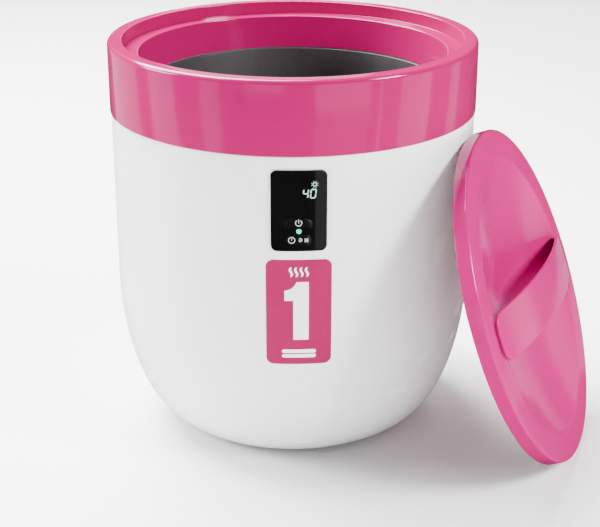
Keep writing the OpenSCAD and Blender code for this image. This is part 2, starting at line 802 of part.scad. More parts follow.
// A button: its cap follows the window's curve, and its stem points at its switch
module button_body(drop) {
    front_slab(window_r + button_proud, body_r - 1.6, panel_z - drop) children();
    translate([0, button_back_y, panel_z - drop]) rotate([90, 0, 0])
        cylinder(r = stem_r, h = 3, $fn = 48);
}

module power_button() {
    color([0.03, 0.03, 0.03]) button_body(power_drop) power_outline();
}

module timer_button() {
    color([0.03, 0.03, 0.03]) button_body(timer_drop) timer_outline();
}

module front_label() {
    color("deeppink") intersection() {
        rotate_extrude() polygon(concat(
            [[body_r + label_t, collar_z - 2], [body_r + touch_gap, collar_z - 2]],
            casing_curve(-touch_gap), reversed(casing_curve(-label_t))));
        at_front(label_z, -2 * body_r, -body_r / 2) round_rect(label_w, label_h, label_corner);
    }
}

// The lid is drawn in its own frame, and each of its pieces is then put where it leans

module lid_shell() {
    color("hotpink") leaning() difference() {
        union() {
            rotate_extrude() polygon(concat(
                [[lid_r, -lid_edge_t]],
                arc([lid_r - lid_round, -lid_round], lid_round, 0, 90, 8),
                dish_curve(0), reversed(dish_curve(lid_wall)),
                [[lid_r - lid_wall, -lid_wall], [lid_r - lid_wall, -lid_edge_t]]));
            dish_ledge();
            around(lid_screws_n, lid_screw_ring_r, 45) translate([0, 0, cover_z + cover_t])
                cylinder(r = lid_boss_r, h = lid_edge_t - cover_t - 1);
        }
        around(lid_screws_n, lid_screw_ring_r, 45) translate([0, 0, cover_z + cover_t - eps])
            cylinder(r = pilot_r, h = lid_screw_hold + shallow_spare + eps);
    }
}

// The crescent in the dish under the strap's near end, with the finger hollow beside it
module dish_ledge() {
    difference() {
        rotate_extrude() polygon(concat(dish_curve(0, dish_depth - ledge_rise),
            reversed(dish_curve(lid_wall / 2))));
        rotate([0, 0, ledge_turn]) translate([0, ledge_r - ledge_in, -2 * dish_depth])
            cylinder(r = ledge_r, h = 3 * dish_depth);
    }
}

module lid_handle() {
    color("hotpink") leaning() intersection() {
        union() {
            // The arch, between two large circles
            translate([strap_w / 2, 0, strap_top - strap_arc_r]) rotate([0, -90, 0])
                ring(strap_arc_r, strap_arc_r - strap_t, strap_w, $fn = 1440);
            // The flat feet that lie on the lid's face
            translate([0, 0, strap_gap]) ring(strap_reach, dish_r + 0.2, strap_t);
        }
        translate([0, 0, strap_gap]) linear_extrude(strap_top)
            round_rect(strap_w, 2 * strap_reach, tab_corner);
    }
}

module lid_insulation() {
    foam_r = pan_r - cover_t - 2;
    foam_low = -pan_drop + cover_t + foam_gap;
    foam_steps = 10;
    color([0.93, 0.9, 0.8]) leaning() rotate_extrude() polygon(concat(
        [for (i = [0 : foam_steps])
            let (r = foam_r - (foam_r - foam_start_r) * i / foam_steps)
            [r, dish_z(r) - lid_wall - foam_gap]],
        [[foam_start_r, foam_low], [foam_r, foam_low]]));
}

module lid_under_cover() {
    color([0.92, 0.92, 0.92]) leaning() difference() {
        rotate_extrude() polygon([
            [0, -pan_drop], [pan_r - 2, -pan_drop], [pan_r, -pan_drop + 2],
            [pan_r + pan_step - 1, cover_z], [cover_r, cover_z], [cover_r, cover_z + cover_t],
            [pan_r + pan_step - 1 - cover_t, cover_z + cover_t],
            [pan_r - cover_t, -pan_drop + 2 + cover_t * 0.4], [pan_r - cover_t - 1, -pan_drop + cover_t],
            [0, -pan_drop + cover_t]]);
        around(lid_screws_n, lid_screw_ring_r, 45) translate([0, 0, cover_z - eps])
            cylinder(r = screw_hole_r, h = cover_t + 2 * eps);
        translate([0, 0, cover_z - eps]) ring(seal_r + seal_w + 0.1, seal_r - 0.1, seal_h - seal_proud + eps);
    }
}

module lid_seal() {
    color([0.9, 0.9, 0.88]) leaning() translate([0, 0, cover_z - seal_proud])
        ring(seal_r + seal_w, seal_r, seal_h);
}

module lid_screws() {
    color("silver") leaning() around(lid_screws_n, lid_screw_ring_r, 45)
        translate([0, 0, cover_z]) screw(cover_t + lid_screw_hold);
}

outer_shell();
collar();
inner_liner();
liner_gasket();
heating_belt();
insulation_wrap();
base_insulation();
temperature_sensor();
thermal_cutoff();
liner_screws();
collar_screws();
base_cover();
base_screws();
rubber_feet();
power_board();
board_screws();
panel_cable();
heater_lead();
cord_gland();
panel_housing();
housing_screws();
display_window();
display_module();
control_board();
button_switches();
light_guide();
power_button();
timer_button();
front_label();
lid_shell();
lid_handle();
lid_insulation();
lid_under_cover();
lid_seal();
lid_screws();
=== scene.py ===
# %% [markdown]
# This lesson dresses a towel warmer bucket. The real thing is a round-bottomed tub of white
# plastic with a broad pink collar, a dark heated liner and a small glossy control panel. Its
# dished pink lid leans against the tub's side. The CAD model gives every piece its place and
# size, and each step here gives one piece the form and finish that show from a step away.

import math

import bmesh
import bpy
from mathutils import Matrix, Vector


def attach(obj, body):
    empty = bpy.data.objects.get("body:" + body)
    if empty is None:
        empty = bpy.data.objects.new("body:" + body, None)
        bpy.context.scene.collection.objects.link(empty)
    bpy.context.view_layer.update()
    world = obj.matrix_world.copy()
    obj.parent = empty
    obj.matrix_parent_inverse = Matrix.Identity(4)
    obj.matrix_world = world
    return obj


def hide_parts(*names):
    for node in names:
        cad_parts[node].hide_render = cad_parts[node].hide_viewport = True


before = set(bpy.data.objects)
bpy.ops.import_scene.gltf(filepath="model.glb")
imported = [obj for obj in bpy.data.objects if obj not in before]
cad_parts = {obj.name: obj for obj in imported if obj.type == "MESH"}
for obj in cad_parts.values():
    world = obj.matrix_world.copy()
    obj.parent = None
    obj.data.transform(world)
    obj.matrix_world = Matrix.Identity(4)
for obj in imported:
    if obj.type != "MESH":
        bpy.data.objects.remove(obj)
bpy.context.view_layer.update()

# %% [markdown]
# Every length below is in metres and repeats a named size of the CAD model. The tub is measured
# up from the surface it stands on. The lid has its own small frame: zero is its flat face, and
# its Z points straight out of it.

# %% Sizes of the tub
MM = 0.001
TOTAL_H = 327 * MM
BODY_R = 149 * MM
SHELL_WALL = 2.6 * MM
CURVE_Z = 132 * MM
FLAT_R = 96 * MM
FOOT_H = 2.5 * MM
COLLAR_R = 150 * MM
COLLAR_H = 56.5 * MM
COLLAR_Z = TOTAL_H - COLLAR_H
COLLAR_WALL = 3 * MM
SEAT_R = 138 * MM
SEAT_Z = TOTAL_H - 10.5 * MM
THROAT_R = 125 * MM
THROAT_LOW_R = 121.6 * MM
LINER_Z = TOTAL_H - 38.5 * MM
LINER_R = 119.8 * MM
LINER_T = 1.2 * MM
LINER_FLOOR = 67 * MM
LINER_ROUND = 18 * MM
FLANGE_R = LINER_R + LINER_T + 15.6 * MM
SEAM_GAP = 0.4 * MM
CURVE_A = BODY_R - FLAT_R
CURVE_B = CURVE_Z - FOOT_H
print("tub", round(2 * COLLAR_R, 3), "across and", round(TOTAL_H, 3), "high")


# %% Outline helpers
def arc(centre, radius, start, end, steps=8):
    """Points on part of a circle, from one angle to another in degrees."""
    turns = [math.radians(start + (end - start) * i / steps) for i in range(steps + 1)]
    return [(centre[0] + radius * math.cos(t), centre[1] + radius * math.sin(t)) for t in turns]


def casing_r(z):
    """Outer radius of the white casing at a height."""
    if z >= CURVE_Z:
        return BODY_R
    share = min(1.0, (CURVE_Z - z) / CURVE_B)
    return FLAT_R + CURVE_A * math.sqrt(1 - share * share)


def casing_curve(inwards, steps=56):
    """The casing's curve from its side down to its flat bottom, moved inwards."""
    points = []
    for i in range(steps + 1):
        turn = math.radians(90 * i / steps)
        points.append((FLAT_R + (CURVE_A - inwards) * math.cos(turn),
                       CURVE_Z - (CURVE_B - inwards) * math.sin(turn)))
    return points


# %% [markdown]
# Most pieces here are round, so one helper does what a lathe does: it takes half of a piece's
# cross-section and turns it round the tub's axis. A closed section gives a closed solid with a
# real wall. Faces that meet at a sharp angle keep a crisp edge, and all others are shaded smooth.

# %% The lathe
def add_piece(name, verts, faces, crisp=32):
    """Makes a mesh object from points and faces, with its faces pointing outwards."""
    mesh = bpy.data.meshes.new(name)
    mesh.from_pydata(verts, [], faces)
    work = bmesh.new()
    work.from_mesh(mesh)
    bmesh.ops.remove_doubles(work, verts=work.verts, dist=1e-7)
    bmesh.ops.recalc_face_normals(work, faces=work.faces)
    work.to_mesh(mesh)
    work.free()
    piece = linked(name, mesh)
    shade(piece, crisp)
    return piece


def linked(name, mesh):
    """An object for a mesh, put into the scene."""
    piece = bpy.data.objects.new(name, mesh)
    bpy.context.scene.collection.objects.link(piece)
    return piece


def shade(piece, crisp=32):
    """Smooth shading, except at edges that turn by more than crisp degrees."""
    for face in piece.data.polygons:
        face.use_smooth = True
    piece.data.set_sharp_from_angle(angle=math.radians(crisp))


def turned(name, outline, around=192):
    """Turns a closed outline of (radius, height) points round the Z axis."""
    verts = []
    rings = []
    for radius, height in outline:
        if radius < 1e-6:
            rings.append([len(verts)] * around)
            verts.append((0, 0, height))
            continue
        rings.append(range(len(verts), len(verts) + around))
        for i in range(around):
            turn = 2 * math.pi * i / around
            verts.append((radius * math.cos(turn), radius * math.sin(turn), height))
    faces = []
    for low, high in zip(rings, list(rings[1:]) + [rings[0]]):
        for i in range(around):
            j = (i + 1) % around
            corners = list(dict.fromkeys((low[i], low[j], high[j], high[i])))
            if len(corners) > 2:
                faces.append(corners)
    return add_piece(name, verts, faces)


# %% [markdown]
# Small prints, buttons and the window all follow the tub's round front. Each starts as a flat
# drawing, seen from the front. The drawing is filled, cut into narrow upright strips, given its
# thickness, and then bent onto the casing, so it hugs the curve as moulded or printed work does.

# %% Front pieces
def round_rect(width, height, corner, middle=(0, 0), steps=8):
    """Outline of a rectangle with round corners."""
    x, z = width / 2 - corner, height / 2 - corner
    points = []
    for cx, cz, start in ((x, z, 0), (-x, z, 90), (-x, -z, 180), (x, -z, 270)):
        points += arc((middle[0] + cx, middle[1] + cz), corner, start, start + 90, steps)
    return points


def ring_outline(middle, radius, steps=32):
    """Outline of a circle."""
    return arc(middle, radius, 0, 360 - 360 / steps, steps - 1)


def filled(outlines):
    """A flat mesh inside some closed outlines. An outline inside another makes a hole."""
    # The fill joins points closer than a tenth of a millimetre, so it works a thousand times larger
    curve = bpy.data.curves.new("outline", "CURVE")
    curve.dimensions = "2D"
    curve.fill_mode = "BOTH"
    for points in outlines:
        spline = curve.splines.new("POLY")
        spline.points.add(len(points) - 1)
        for point, (x, z) in zip(spline.points, points):
            point.co = (x / MM, z / MM, 0, 1)
        spline.use_cyclic_u = True
    holder = bpy.data.objects.new("outline", curve)
    flat = bpy.data.meshes.new_from_object(holder)
    bpy.data.objects.remove(holder)
    bpy.data.curves.remove(curve)
    flat.transform(Matrix.Scale(MM, 4))
    return flat


def drawing(outlines):
    """The filled outlines as a bmesh, with no more points than the drawing needs."""
    work = bmesh.new()
    work.from_mesh(filled(outlines))
    bmesh.ops.dissolve_limit(work, angle_limit=0.01, verts=work.verts, edges=work.edges)
    return work


def thickened(name, work, place):
    """Gives a drawing its thickness. place says where a point goes: its x and z, and if it's raised."""
    made = bmesh.ops.extrude_face_region(work, geom=work.faces[:])
    raised = {v for v in made["geom"] if isinstance(v, bmesh.types.BMVert)}
    for v in work.verts:
        v.co = place(v.co.x, v.co.y, v in raised)
    bmesh.ops.recalc_face_normals(work, faces=work.faces)
    mesh = bpy.data.meshes.new(name)
    work.to_mesh(mesh)
    work.free()
    return linked(name, mesh)


def multiples(values, step):
    """The multiples of a step between the lowest and the highest of some values."""
    return [step * i for i in range(math.ceil(min(values) / step), math.ceil(max(values) / step))]


def front_piece(name, outlines, low, high, radius_at=casing_r, strip=1.2 * MM, rows=None):
    """A slab on the casing's front, from low to high above its surface."""
    work = drawing(outlines)
    xs = [v.co.x for v in work.verts]
    zs = [v.co.y for v in work.verts]
    cuts = [(x, 0, (1, 0, 0)) for x in multiples(xs, strip)]
    if rows:
        cuts += [(0, z, (0, 1, 0)) for z in multiples(zs, rows)]
    for x, z, normal in cuts:
        bmesh.ops.bisect_plane(work, geom=work.verts[:] + work.edges[:] + work.faces[:],
                               plane_co=(x, z, 0), plane_no=normal, dist=1e-7)

    def place(x, z, raised):
        radius = radius_at(z) + (high if raised else low)
        return x, -math.sqrt(radius * radius - x * x), z

    piece = thickened(name, work, place)
    shade(piece)
    return piece


def finished(piece):
    """Turns an object with modifiers into a plain mesh."""
    bpy.context.view_layer.update()
    graph = bpy.context.evaluated_depsgraph_get()
    mesh = bpy.data.meshes.new_from_object(piece.evaluated_get(graph))
    piece.modifiers.clear()
    piece.data = mesh


def soften(piece, width, segments=3, angle=40):
    """Rounds the crisp edges of a piece by a small width, as a mould does."""
    bevel = piece.modifiers.new("soft edges", "BEVEL")
    bevel.width = width
    bevel.segments = segments
    bevel.limit_method = "ANGLE"
    bevel.angle_limit = math.radians(angle)
    bevel.harden_normals = False
    finished(piece)
    shade(piece, 50)


# %% [markdown]
# Moulded plastic looks real when its gloss isn't perfect. Each finish here starts from one
# shader, and adds what a mould and daily use leave: a faint ripple as on orange skin, roughness
# that changes a little from place to place, and a slight drift of colour. The patterns read
# Object coordinates in metres, so their grain keeps its real size on every piece.

# %% Finish helpers
def new_finish(name):
    """A material with a principled shader, its node tree and its texture coordinates."""
    finish = bpy.data.materials.new(name)
    finish.use_nodes = True
    tree = finish.node_tree
    shader = tree.nodes["Principled BSDF"]
    where = tree.nodes.new("ShaderNodeTexCoord")
    return finish, tree, shader, where.outputs["Object"]


def noise(tree, where, scale, detail=3.0, roughness=0.5):
    """A noise pattern: scale is its number of cells in a metre."""
    node = tree.nodes.new("ShaderNodeTexNoise")
    node.inputs["Scale"].default_value = scale
    node.inputs["Detail"].default_value = detail
    node.inputs["Roughness"].default_value = roughness
    tree.links.new(where, node.inputs["Vector"])
    return node.outputs["Fac"]


def ramp(tree, value, low, high, low_at=0.35, high_at=0.65):
    """Spreads a pattern between two numbers or two colours."""
    node = tree.nodes.new("ShaderNodeValToRGB")
    for element, colour, place in zip(node.color_ramp.elements, (low, high), (low_at, high_at)):
        element.position = place
        element.color = colour if hasattr(colour, "__len__") else (colour, colour, colour, 1)
    tree.links.new(value, node.inputs["Fac"])
    return node.outputs["Color"]


def bump(tree, shader, pattern, strength, distance):
    """Raises a pattern on the surface by up to distance."""
    node = tree.nodes.new("ShaderNodeBump")
    node.inputs["Strength"].default_value = strength
    node.inputs["Distance"].default_value = distance
    tree.links.new(pattern, node.inputs["Height"])
    tree.links.new(node.outputs["Normal"], shader.inputs["Normal"])


def linear(red, green, blue):
    """A screen colour from 0 to 255 as the linear colour that Blender's shaders take."""
    channels = []
    for value in (red, green, blue):
        share = value / 255
        channels.append(share / 12.92 if share <= 0.04045 else ((share + 0.055) / 1.055) ** 2.4)
    return (*channels, 1)


def plastic(name, colour, shadow, gloss=(0.12, 0.2), ripple=0.06, ripple_scale=90, tint=None, shine=0.5):
    """Moulded plastic: colour drifts to shadow, and gloss is its range of roughness."""
    finish, tree, shader, where = new_finish(name)
    drift = noise(tree, where, 14, 2)
    tree.links.new(ramp(tree, drift, colour, shadow), shader.inputs["Base Color"])
    worn = noise(tree, where, 38, 4, 0.6)
    tree.links.new(ramp(tree, worn, gloss[0], gloss[1]), shader.inputs["Roughness"])
    bump(tree, shader, noise(tree, where, ripple_scale, 2, 0.4), ripple, 0.0004)
    shader.inputs["Specular IOR Level"].default_value = shine
    if tint:
        shader.inputs["Specular Tint"].default_value = tint
    return finish


def dress(piece, finish, body):
    """Gives a piece its finish and the body it rides on."""
    piece.data.materials.clear()
    piece.data.materials.append(finish)
    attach(piece, body)


# %% The main plastics
PINK_SHINE = (1.0, 0.42, 0.72, 1)
PINK = plastic("collar pink plastic", linear(151, 1, 80), linear(147, 1, 77),
               gloss=(0.08, 0.14), ripple=0.03, tint=PINK_SHINE)
LID_PINK = plastic("lid pink plastic", linear(173, 1, 99), linear(168, 1, 95),
                   gloss=(0.12, 0.18), ripple=0.01, tint=PINK_SHINE)
WHITE = plastic("casing white plastic", linear(247, 247, 247), linear(244, 244, 245),
                gloss=(0.24, 0.28), ripple=0.005, ripple_scale=900)
print("finishes", PINK.name, LID_PINK.name, WHITE.name)

# %% [markdown]
# The casing is one deep blow of white plastic: an upright wall, then a long even curve into a
# flat bottom. The CAD solid draws that curve in twenty straight steps, which would show in a
# glossy surface, so the piece is turned again here with many more. The opening for the control
# panel and the pad for the cord are cut and joined as solid bodies, with boolean modifiers.

# %% The white casing
neck_r = COLLAR_R - COLLAR_WALL - 0.3 * MM
neck_z = LINER_Z - LINER_T
neck_flange_r = FLANGE_R + 0.4 * MM
base_flange_z = FOOT_H + 3.2 * MM
base_step_r = 92 * MM
base_flange_r = 84 * MM
upright = [(BODY_R, z * MM) for z in (150, 175, 192, 196, 199.5, 230, 257.5, 261, 265)]
outline = [(neck_flange_r, neck_z), (neck_flange_r, neck_z - SHELL_WALL),
           (neck_r - SHELL_WALL, neck_z - SHELL_WALL),
           (neck_r - SHELL_WALL, COLLAR_Z - 4 * MM), (BODY_R - SHELL_WALL, COLLAR_Z - 8 * MM),
           (BODY_R - SHELL_WALL, 261 * MM), (BODY_R - SHELL_WALL, 257.5 * MM),
           (BODY_R - SHELL_WALL, 199.5 * MM), (BODY_R - SHELL_WALL, 196 * MM)]
outline += casing_curve(SHELL_WALL, 24)
outline += [(base_flange_r, base_flange_z + SHELL_WALL), (base_flange_r, base_flange_z),
            (base_step_r, base_flange_z), (base_step_r, FOOT_H), (FLAT_R - 0.5 * MM, FOOT_H)]
outline += casing_curve(0)[-2::-1]
outline += upright
outline += arc((BODY_R - 0.5 * MM, COLLAR_Z - SEAM_GAP - 0.5 * MM), 0.5 * MM, 0, 90, 4)
outline += [(neck_r, COLLAR_Z - SEAM_GAP)]
casing = turned("casing", outline, 256)
print("casing", len(casing.data.polygons), "faces")


# %% Cut the casing
def boolean(piece, other, kind):
    """Cuts or joins one closed mesh with another."""
    step = piece.modifiers.new(kind, "BOOLEAN")
    step.operation = kind
    step.solver = "EXACT"
    step.object = other
    finished(piece)
    bpy.data.objects.remove(other)


def straight(name, outline, y0, y1):
    """A straight prism along Y, from a flat drawing seen from the front."""
    return thickened(name, drawing([outline]), lambda x, z, raised: (x, y1 if raised else y0, z))


PANEL_Z = TOTAL_H - 98.4 * MM
PANEL_W = 42 * MM
PANEL_H = 63 * MM
PANEL_CORNER = 4.6 * MM
WINDOW_LAP = 2.2 * MM
GLAND_Z = 58 * MM
PAD_R = 10 * MM
PAD_DEPTH = 10.45 * MM
CORD_HOLE_R = 6.05 * MM
pad_face_y = casing_r(GLAND_Z + PAD_R) + 1 * MM
pad = ring_outline((0, GLAND_Z), PAD_R, 96)
cord_hole = ring_outline((0, GLAND_Z), CORD_HOLE_R, 64)
opening = round_rect(PANEL_W - 2 * WINDOW_LAP, PANEL_H - 2 * WINDOW_LAP,
                     PANEL_CORNER - WINDOW_LAP, (0, PANEL_Z))
boolean(casing, straight("pad", pad, pad_face_y - PAD_DEPTH, pad_face_y), "UNION")
boolean(casing, straight("opening", opening, -160 * MM, -100 * MM), "DIFFERENCE")
boolean(casing, straight("cord hole", cord_hole, 100 * MM, 150 * MM), "DIFFERENCE")
shade(casing, 30)
dress(casing, WHITE, "tub")
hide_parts("outer_shell")
print("casing cut", len(casing.data.polygons), "faces")

# %% [markdown]
# The collar is the bucket's most glossy piece. Light from tall windows of a studio runs down its
# band as soft pale streaks, and those only look right if the band is truly round and its top
# edge has the broad soft radius of the real moulding. Inside, a step takes the lid's edge, and
# a tapered throat leads down to the dark liner.

# %% The pink collar
outline = [(COLLAR_R - 0.35 * MM, COLLAR_Z)]
outline += arc((COLLAR_R - 0.35 * MM, COLLAR_Z + 0.35 * MM), 0.35 * MM, -90, 0, 3)[1:]
outline += arc((COLLAR_R - 3.6 * MM, TOTAL_H - 3.6 * MM), 3.6 * MM, 0, 90, 14)
outline += arc((SEAT_R + 1 * MM, TOTAL_H - 1 * MM), 1 * MM, 90, 180, 6)
outline += arc((SEAT_R - 0.5 * MM, SEAT_Z + 0.5 * MM), 0.5 * MM, 0, -90, 4)
outline += arc((THROAT_R + 1.2 * MM, SEAT_Z - 1.2 * MM), 1.2 * MM, 90, 180, 6)
outline += [(THROAT_LOW_R, LINER_Z + 1 * MM), (THROAT_LOW_R + COLLAR_WALL, LINER_Z + 1 * MM),
            (THROAT_R + COLLAR_WALL, SEAT_Z - COLLAR_WALL), (SEAT_R + COLLAR_WALL, SEAT_Z - COLLAR_WALL),
            (SEAT_R + COLLAR_WALL, TOTAL_H - COLLAR_WALL), (COLLAR_R - COLLAR_WALL, TOTAL_H - COLLAR_WALL),
            (COLLAR_R - COLLAR_WALL, COLLAR_Z)]
collar = turned("collar_band", outline, 256)
dress(collar, PINK, "tub")
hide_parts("collar")

# %% [markdown]
# The liner is pressed aluminium with a dark heat-proof coating. Such coatings are dull, with
# fine lighter specks, and they catch a soft sheen at shallow angles.

# %% The dark liner
def coating(name):
    """A dark speckled coating on pressed sheet."""
    finish, tree, shader, where = new_finish(name)
    specks = noise(tree, where, 1500, 2, 0.6)
    tree.links.new(ramp(tree, specks, linear(40, 40, 42), linear(62, 62, 64), 0.5, 0.72),
                   shader.inputs["Base Color"])
    worn = noise(tree, where, 30, 3)
    tree.links.new(ramp(tree, worn, 0.42, 0.55), shader.inputs["Roughness"])
    bump(tree, shader, specks, 0.15, 0.0002)
    return finish


DARK = coating("liner coating")
out_r = LINER_R + LINER_T
mid = (LINER_R - LINER_ROUND, LINER_FLOOR + LINER_ROUND)
outline = [(FLANGE_R, LINER_Z)]
outline += arc((LINER_R + 0.5 * MM, LINER_Z - 0.5 * MM), 0.5 * MM, 90, 180, 4)
outline += [(LINER_R, z * MM) for z in (240, 190, 140)]
outline += arc(mid, LINER_ROUND, 0, -90, 14)
outline += [(60 * MM, LINER_FLOOR), (0, LINER_FLOOR), (0, LINER_FLOOR - LINER_T)]
outline += arc(mid, LINER_ROUND + LINER_T, -90, 0, 14)
outline += [(out_r, LINER_Z - LINER_T), (FLANGE_R, LINER_Z - LINER_T)]
liner = turned("liner", outline)
dress(liner, DARK, "tub")
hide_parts("inner_liner")

# %% [markdown]
# The control panel is a window of black gloss plastic, bent to the casing's curve, with a soft
# rounded edge. Two keys and a small light sit in holes in it. Each hole is a little larger than
# its key, and that fine dark line is what tells the eye that the keys are separate pieces.

# %% The window and its keys
WINDOW_PROUD = 1.2 * MM
POWER_Z = PANEL_Z - 8.9 * MM
TIMER_Z = PANEL_Z - 22.8 * MM
LIGHT_Z = PANEL_Z - 15.8 * MM
LIGHT_R = 1.9 * MM
KEY_GAP = 0.3 * MM
KEY_BACK = -1.6 * MM
KEY_PROUD = WINDOW_PROUD + 0.3 * MM
TOUCH_GAP = 0.05 * MM
FINE_STRIP = 0.75 * MM


def power_outline(grow=0.0):
    """The power key's outline: straight sides and a low arched top."""
    arch_r = 16.8 * MM
    half = 10 * MM + grow
    low = POWER_Z - 4.3 * MM - grow
    centre_z = POWER_Z + 4.3 * MM - arch_r
    edge = math.degrees(math.acos(half / (arch_r + grow)))
    return arc((0, centre_z), arch_r + grow, edge, 180 - edge, 24) + [(-half, low), (half, low)]


def timer_outline(grow=0.0):
    """The timer key's outline: a long pill."""
    return round_rect(18.6 * MM + 2 * grow, 8.4 * MM + 2 * grow,
                      4.2 * MM + grow - 0.01 * MM, (0, TIMER_Z), 12)


def panel_r(z):
    """Radius of the casing behind the panel, where its wall is upright."""
    return BODY_R


window_outline = round_rect(PANEL_W, PANEL_H, PANEL_CORNER, (0, PANEL_Z), 12)
window = front_piece("window", [window_outline, power_outline(KEY_GAP), timer_outline(KEY_GAP),
                                ring_outline((0, LIGHT_Z), LIGHT_R + 0.06 * MM)],
                     TOUCH_GAP, WINDOW_PROUD, panel_r, FINE_STRIP, 2 * MM)
soften(window, 0.22 * MM, 3, 50)
BLACK = plastic("window black gloss", linear(5, 5, 5), linear(7, 7, 7),
                gloss=(0.05, 0.09), ripple=0.02, shine=0.4)
KEY_BLACK = plastic("key black gloss", linear(8, 8, 8), linear(11, 11, 11),
                    gloss=(0.12, 0.18), ripple=0.03, shine=0.4)
dress(window, BLACK, "tub")
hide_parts("display_window")
for name, outline, node in (("power_key", power_outline(), "power_button"),
                            ("timer_key", timer_outline(), "timer_button")):
    key = front_piece(name, [outline], KEY_BACK, KEY_PROUD, panel_r, FINE_STRIP)
    soften(key, 0.25 * MM, 3, 50)
    dress(key, KEY_BLACK, name)
    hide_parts(node)

# %% [markdown]
# A lit display is a light source, so its digits and the small round light shine by emission.
# The digits are plain seven-segment figures, leaning a little to the right. Printed marks on the
# keys are a pale ink that only reflects.

# %% Lights and inks
def glow(name, colour, strength):
    """A surface that shines evenly, as a lit display does."""
    finish, tree, shader, where = new_finish(name)
    shader.inputs["Base Color"].default_value = linear(12, 12, 12)
    shader.inputs["Roughness"].default_value = 0.3
    cells = noise(tree, where, 900, 1)
    tree.links.new(ramp(tree, cells, colour, tuple(min(1.0, c * 1.12) for c in colour[:3]) + (1,)),
                   shader.inputs["Emission Color"])
    shader.inputs["Emission Strength"].default_value = strength
    return finish


def ink(name, colour, fade):
    """Printed ink, a little uneven at its edges."""
    finish, tree, shader, where = new_finish(name)
    tree.links.new(ramp(tree, noise(tree, where, 1200, 2), colour, fade), shader.inputs["Base Color"])
    shader.inputs["Roughness"].default_value = 0.45
    return finish


DIGIT_GLOW = glow("lit digits", linear(200, 245, 240), 2.0)
LAMP_GLOW = glow("status light", linear(20, 235, 205), 2.4)
PALE_INK = ink("pale key ink", linear(206, 198, 196), linear(188, 180, 178))
FACE = WINDOW_PROUD + 0.01 * MM
KEY_FACE = WINDOW_PROUD + 0.31 * MM
PRINT = 0.04 * MM


def on_panel(name, outlines, finish, body, face):
    """A thin print on the window or on a key."""
    piece = front_piece(name, outlines, face, face + PRINT, panel_r, FINE_STRIP)
    dress(piece, finish, body)


# %% [markdown]
# A seven-segment figure is a set of seven short bars. The helper draws the bars that a figure
# uses and leans each point to the right in step with its height.

# %% Seven-segment digits
DIGIT_Z = 242.3 * MM
DIGIT_H = 7.4 * MM
DIGIT_BAR = 0.85 * MM
DIGIT_SLANT = 0.12
BAR_GAP = 0.12 * MM


def digit(shown, middle_x, width):
    """Outlines of the shown bars: a top, b and c right, d bottom, e and f left, g middle."""
    w, h, t, gap = width / 2, DIGIT_H / 2, DIGIT_BAR / 2, BAR_GAP

    def flat_bar(z):
        return [(-w + t + gap, z), (-w + 2 * t + gap, z + t), (w - 2 * t - gap, z + t),
                (w - t - gap, z), (w - 2 * t - gap, z - t), (-w + 2 * t + gap, z - t)]

    def tall_bar(x, z0, z1):
        return [(x, z0 + gap), (x + t, z0 + t + gap), (x + t, z1 - t - gap), (x, z1 - gap),
                (x - t, z1 - t - gap), (x - t, z0 + t + gap)]

    bars = {"a": flat_bar(h - t), "g": flat_bar(0), "d": flat_bar(-h + t),
            "b": tall_bar(w - t, 0, h - t), "c": tall_bar(w - t, -h + t, 0),
            "f": tall_bar(-w + t, 0, h - t), "e": tall_bar(-w + t, -h + t, 0)}
    return [[(middle_x + x + DIGIT_SLANT * z, DIGIT_Z + z) for x, z in bars[name]] for name in shown]


digits = digit("fgbc", 5.0 * MM, 4.3 * MM) + digit("abcdef", 10.6 * MM, 4.5 * MM)
on_panel("lit_digits", digits, DIGIT_GLOW, "tub", FACE)
print("digits", len(digits), "bars")

# %% [markdown]
# The heat sign above the digits is a small sun: a ring with eight short rays. The rays repeat
# round a circle, so a Geometry Nodes tree sets copies of one ray on the points of a circle. The
# same tree later sets the feet and the screws under the tub.

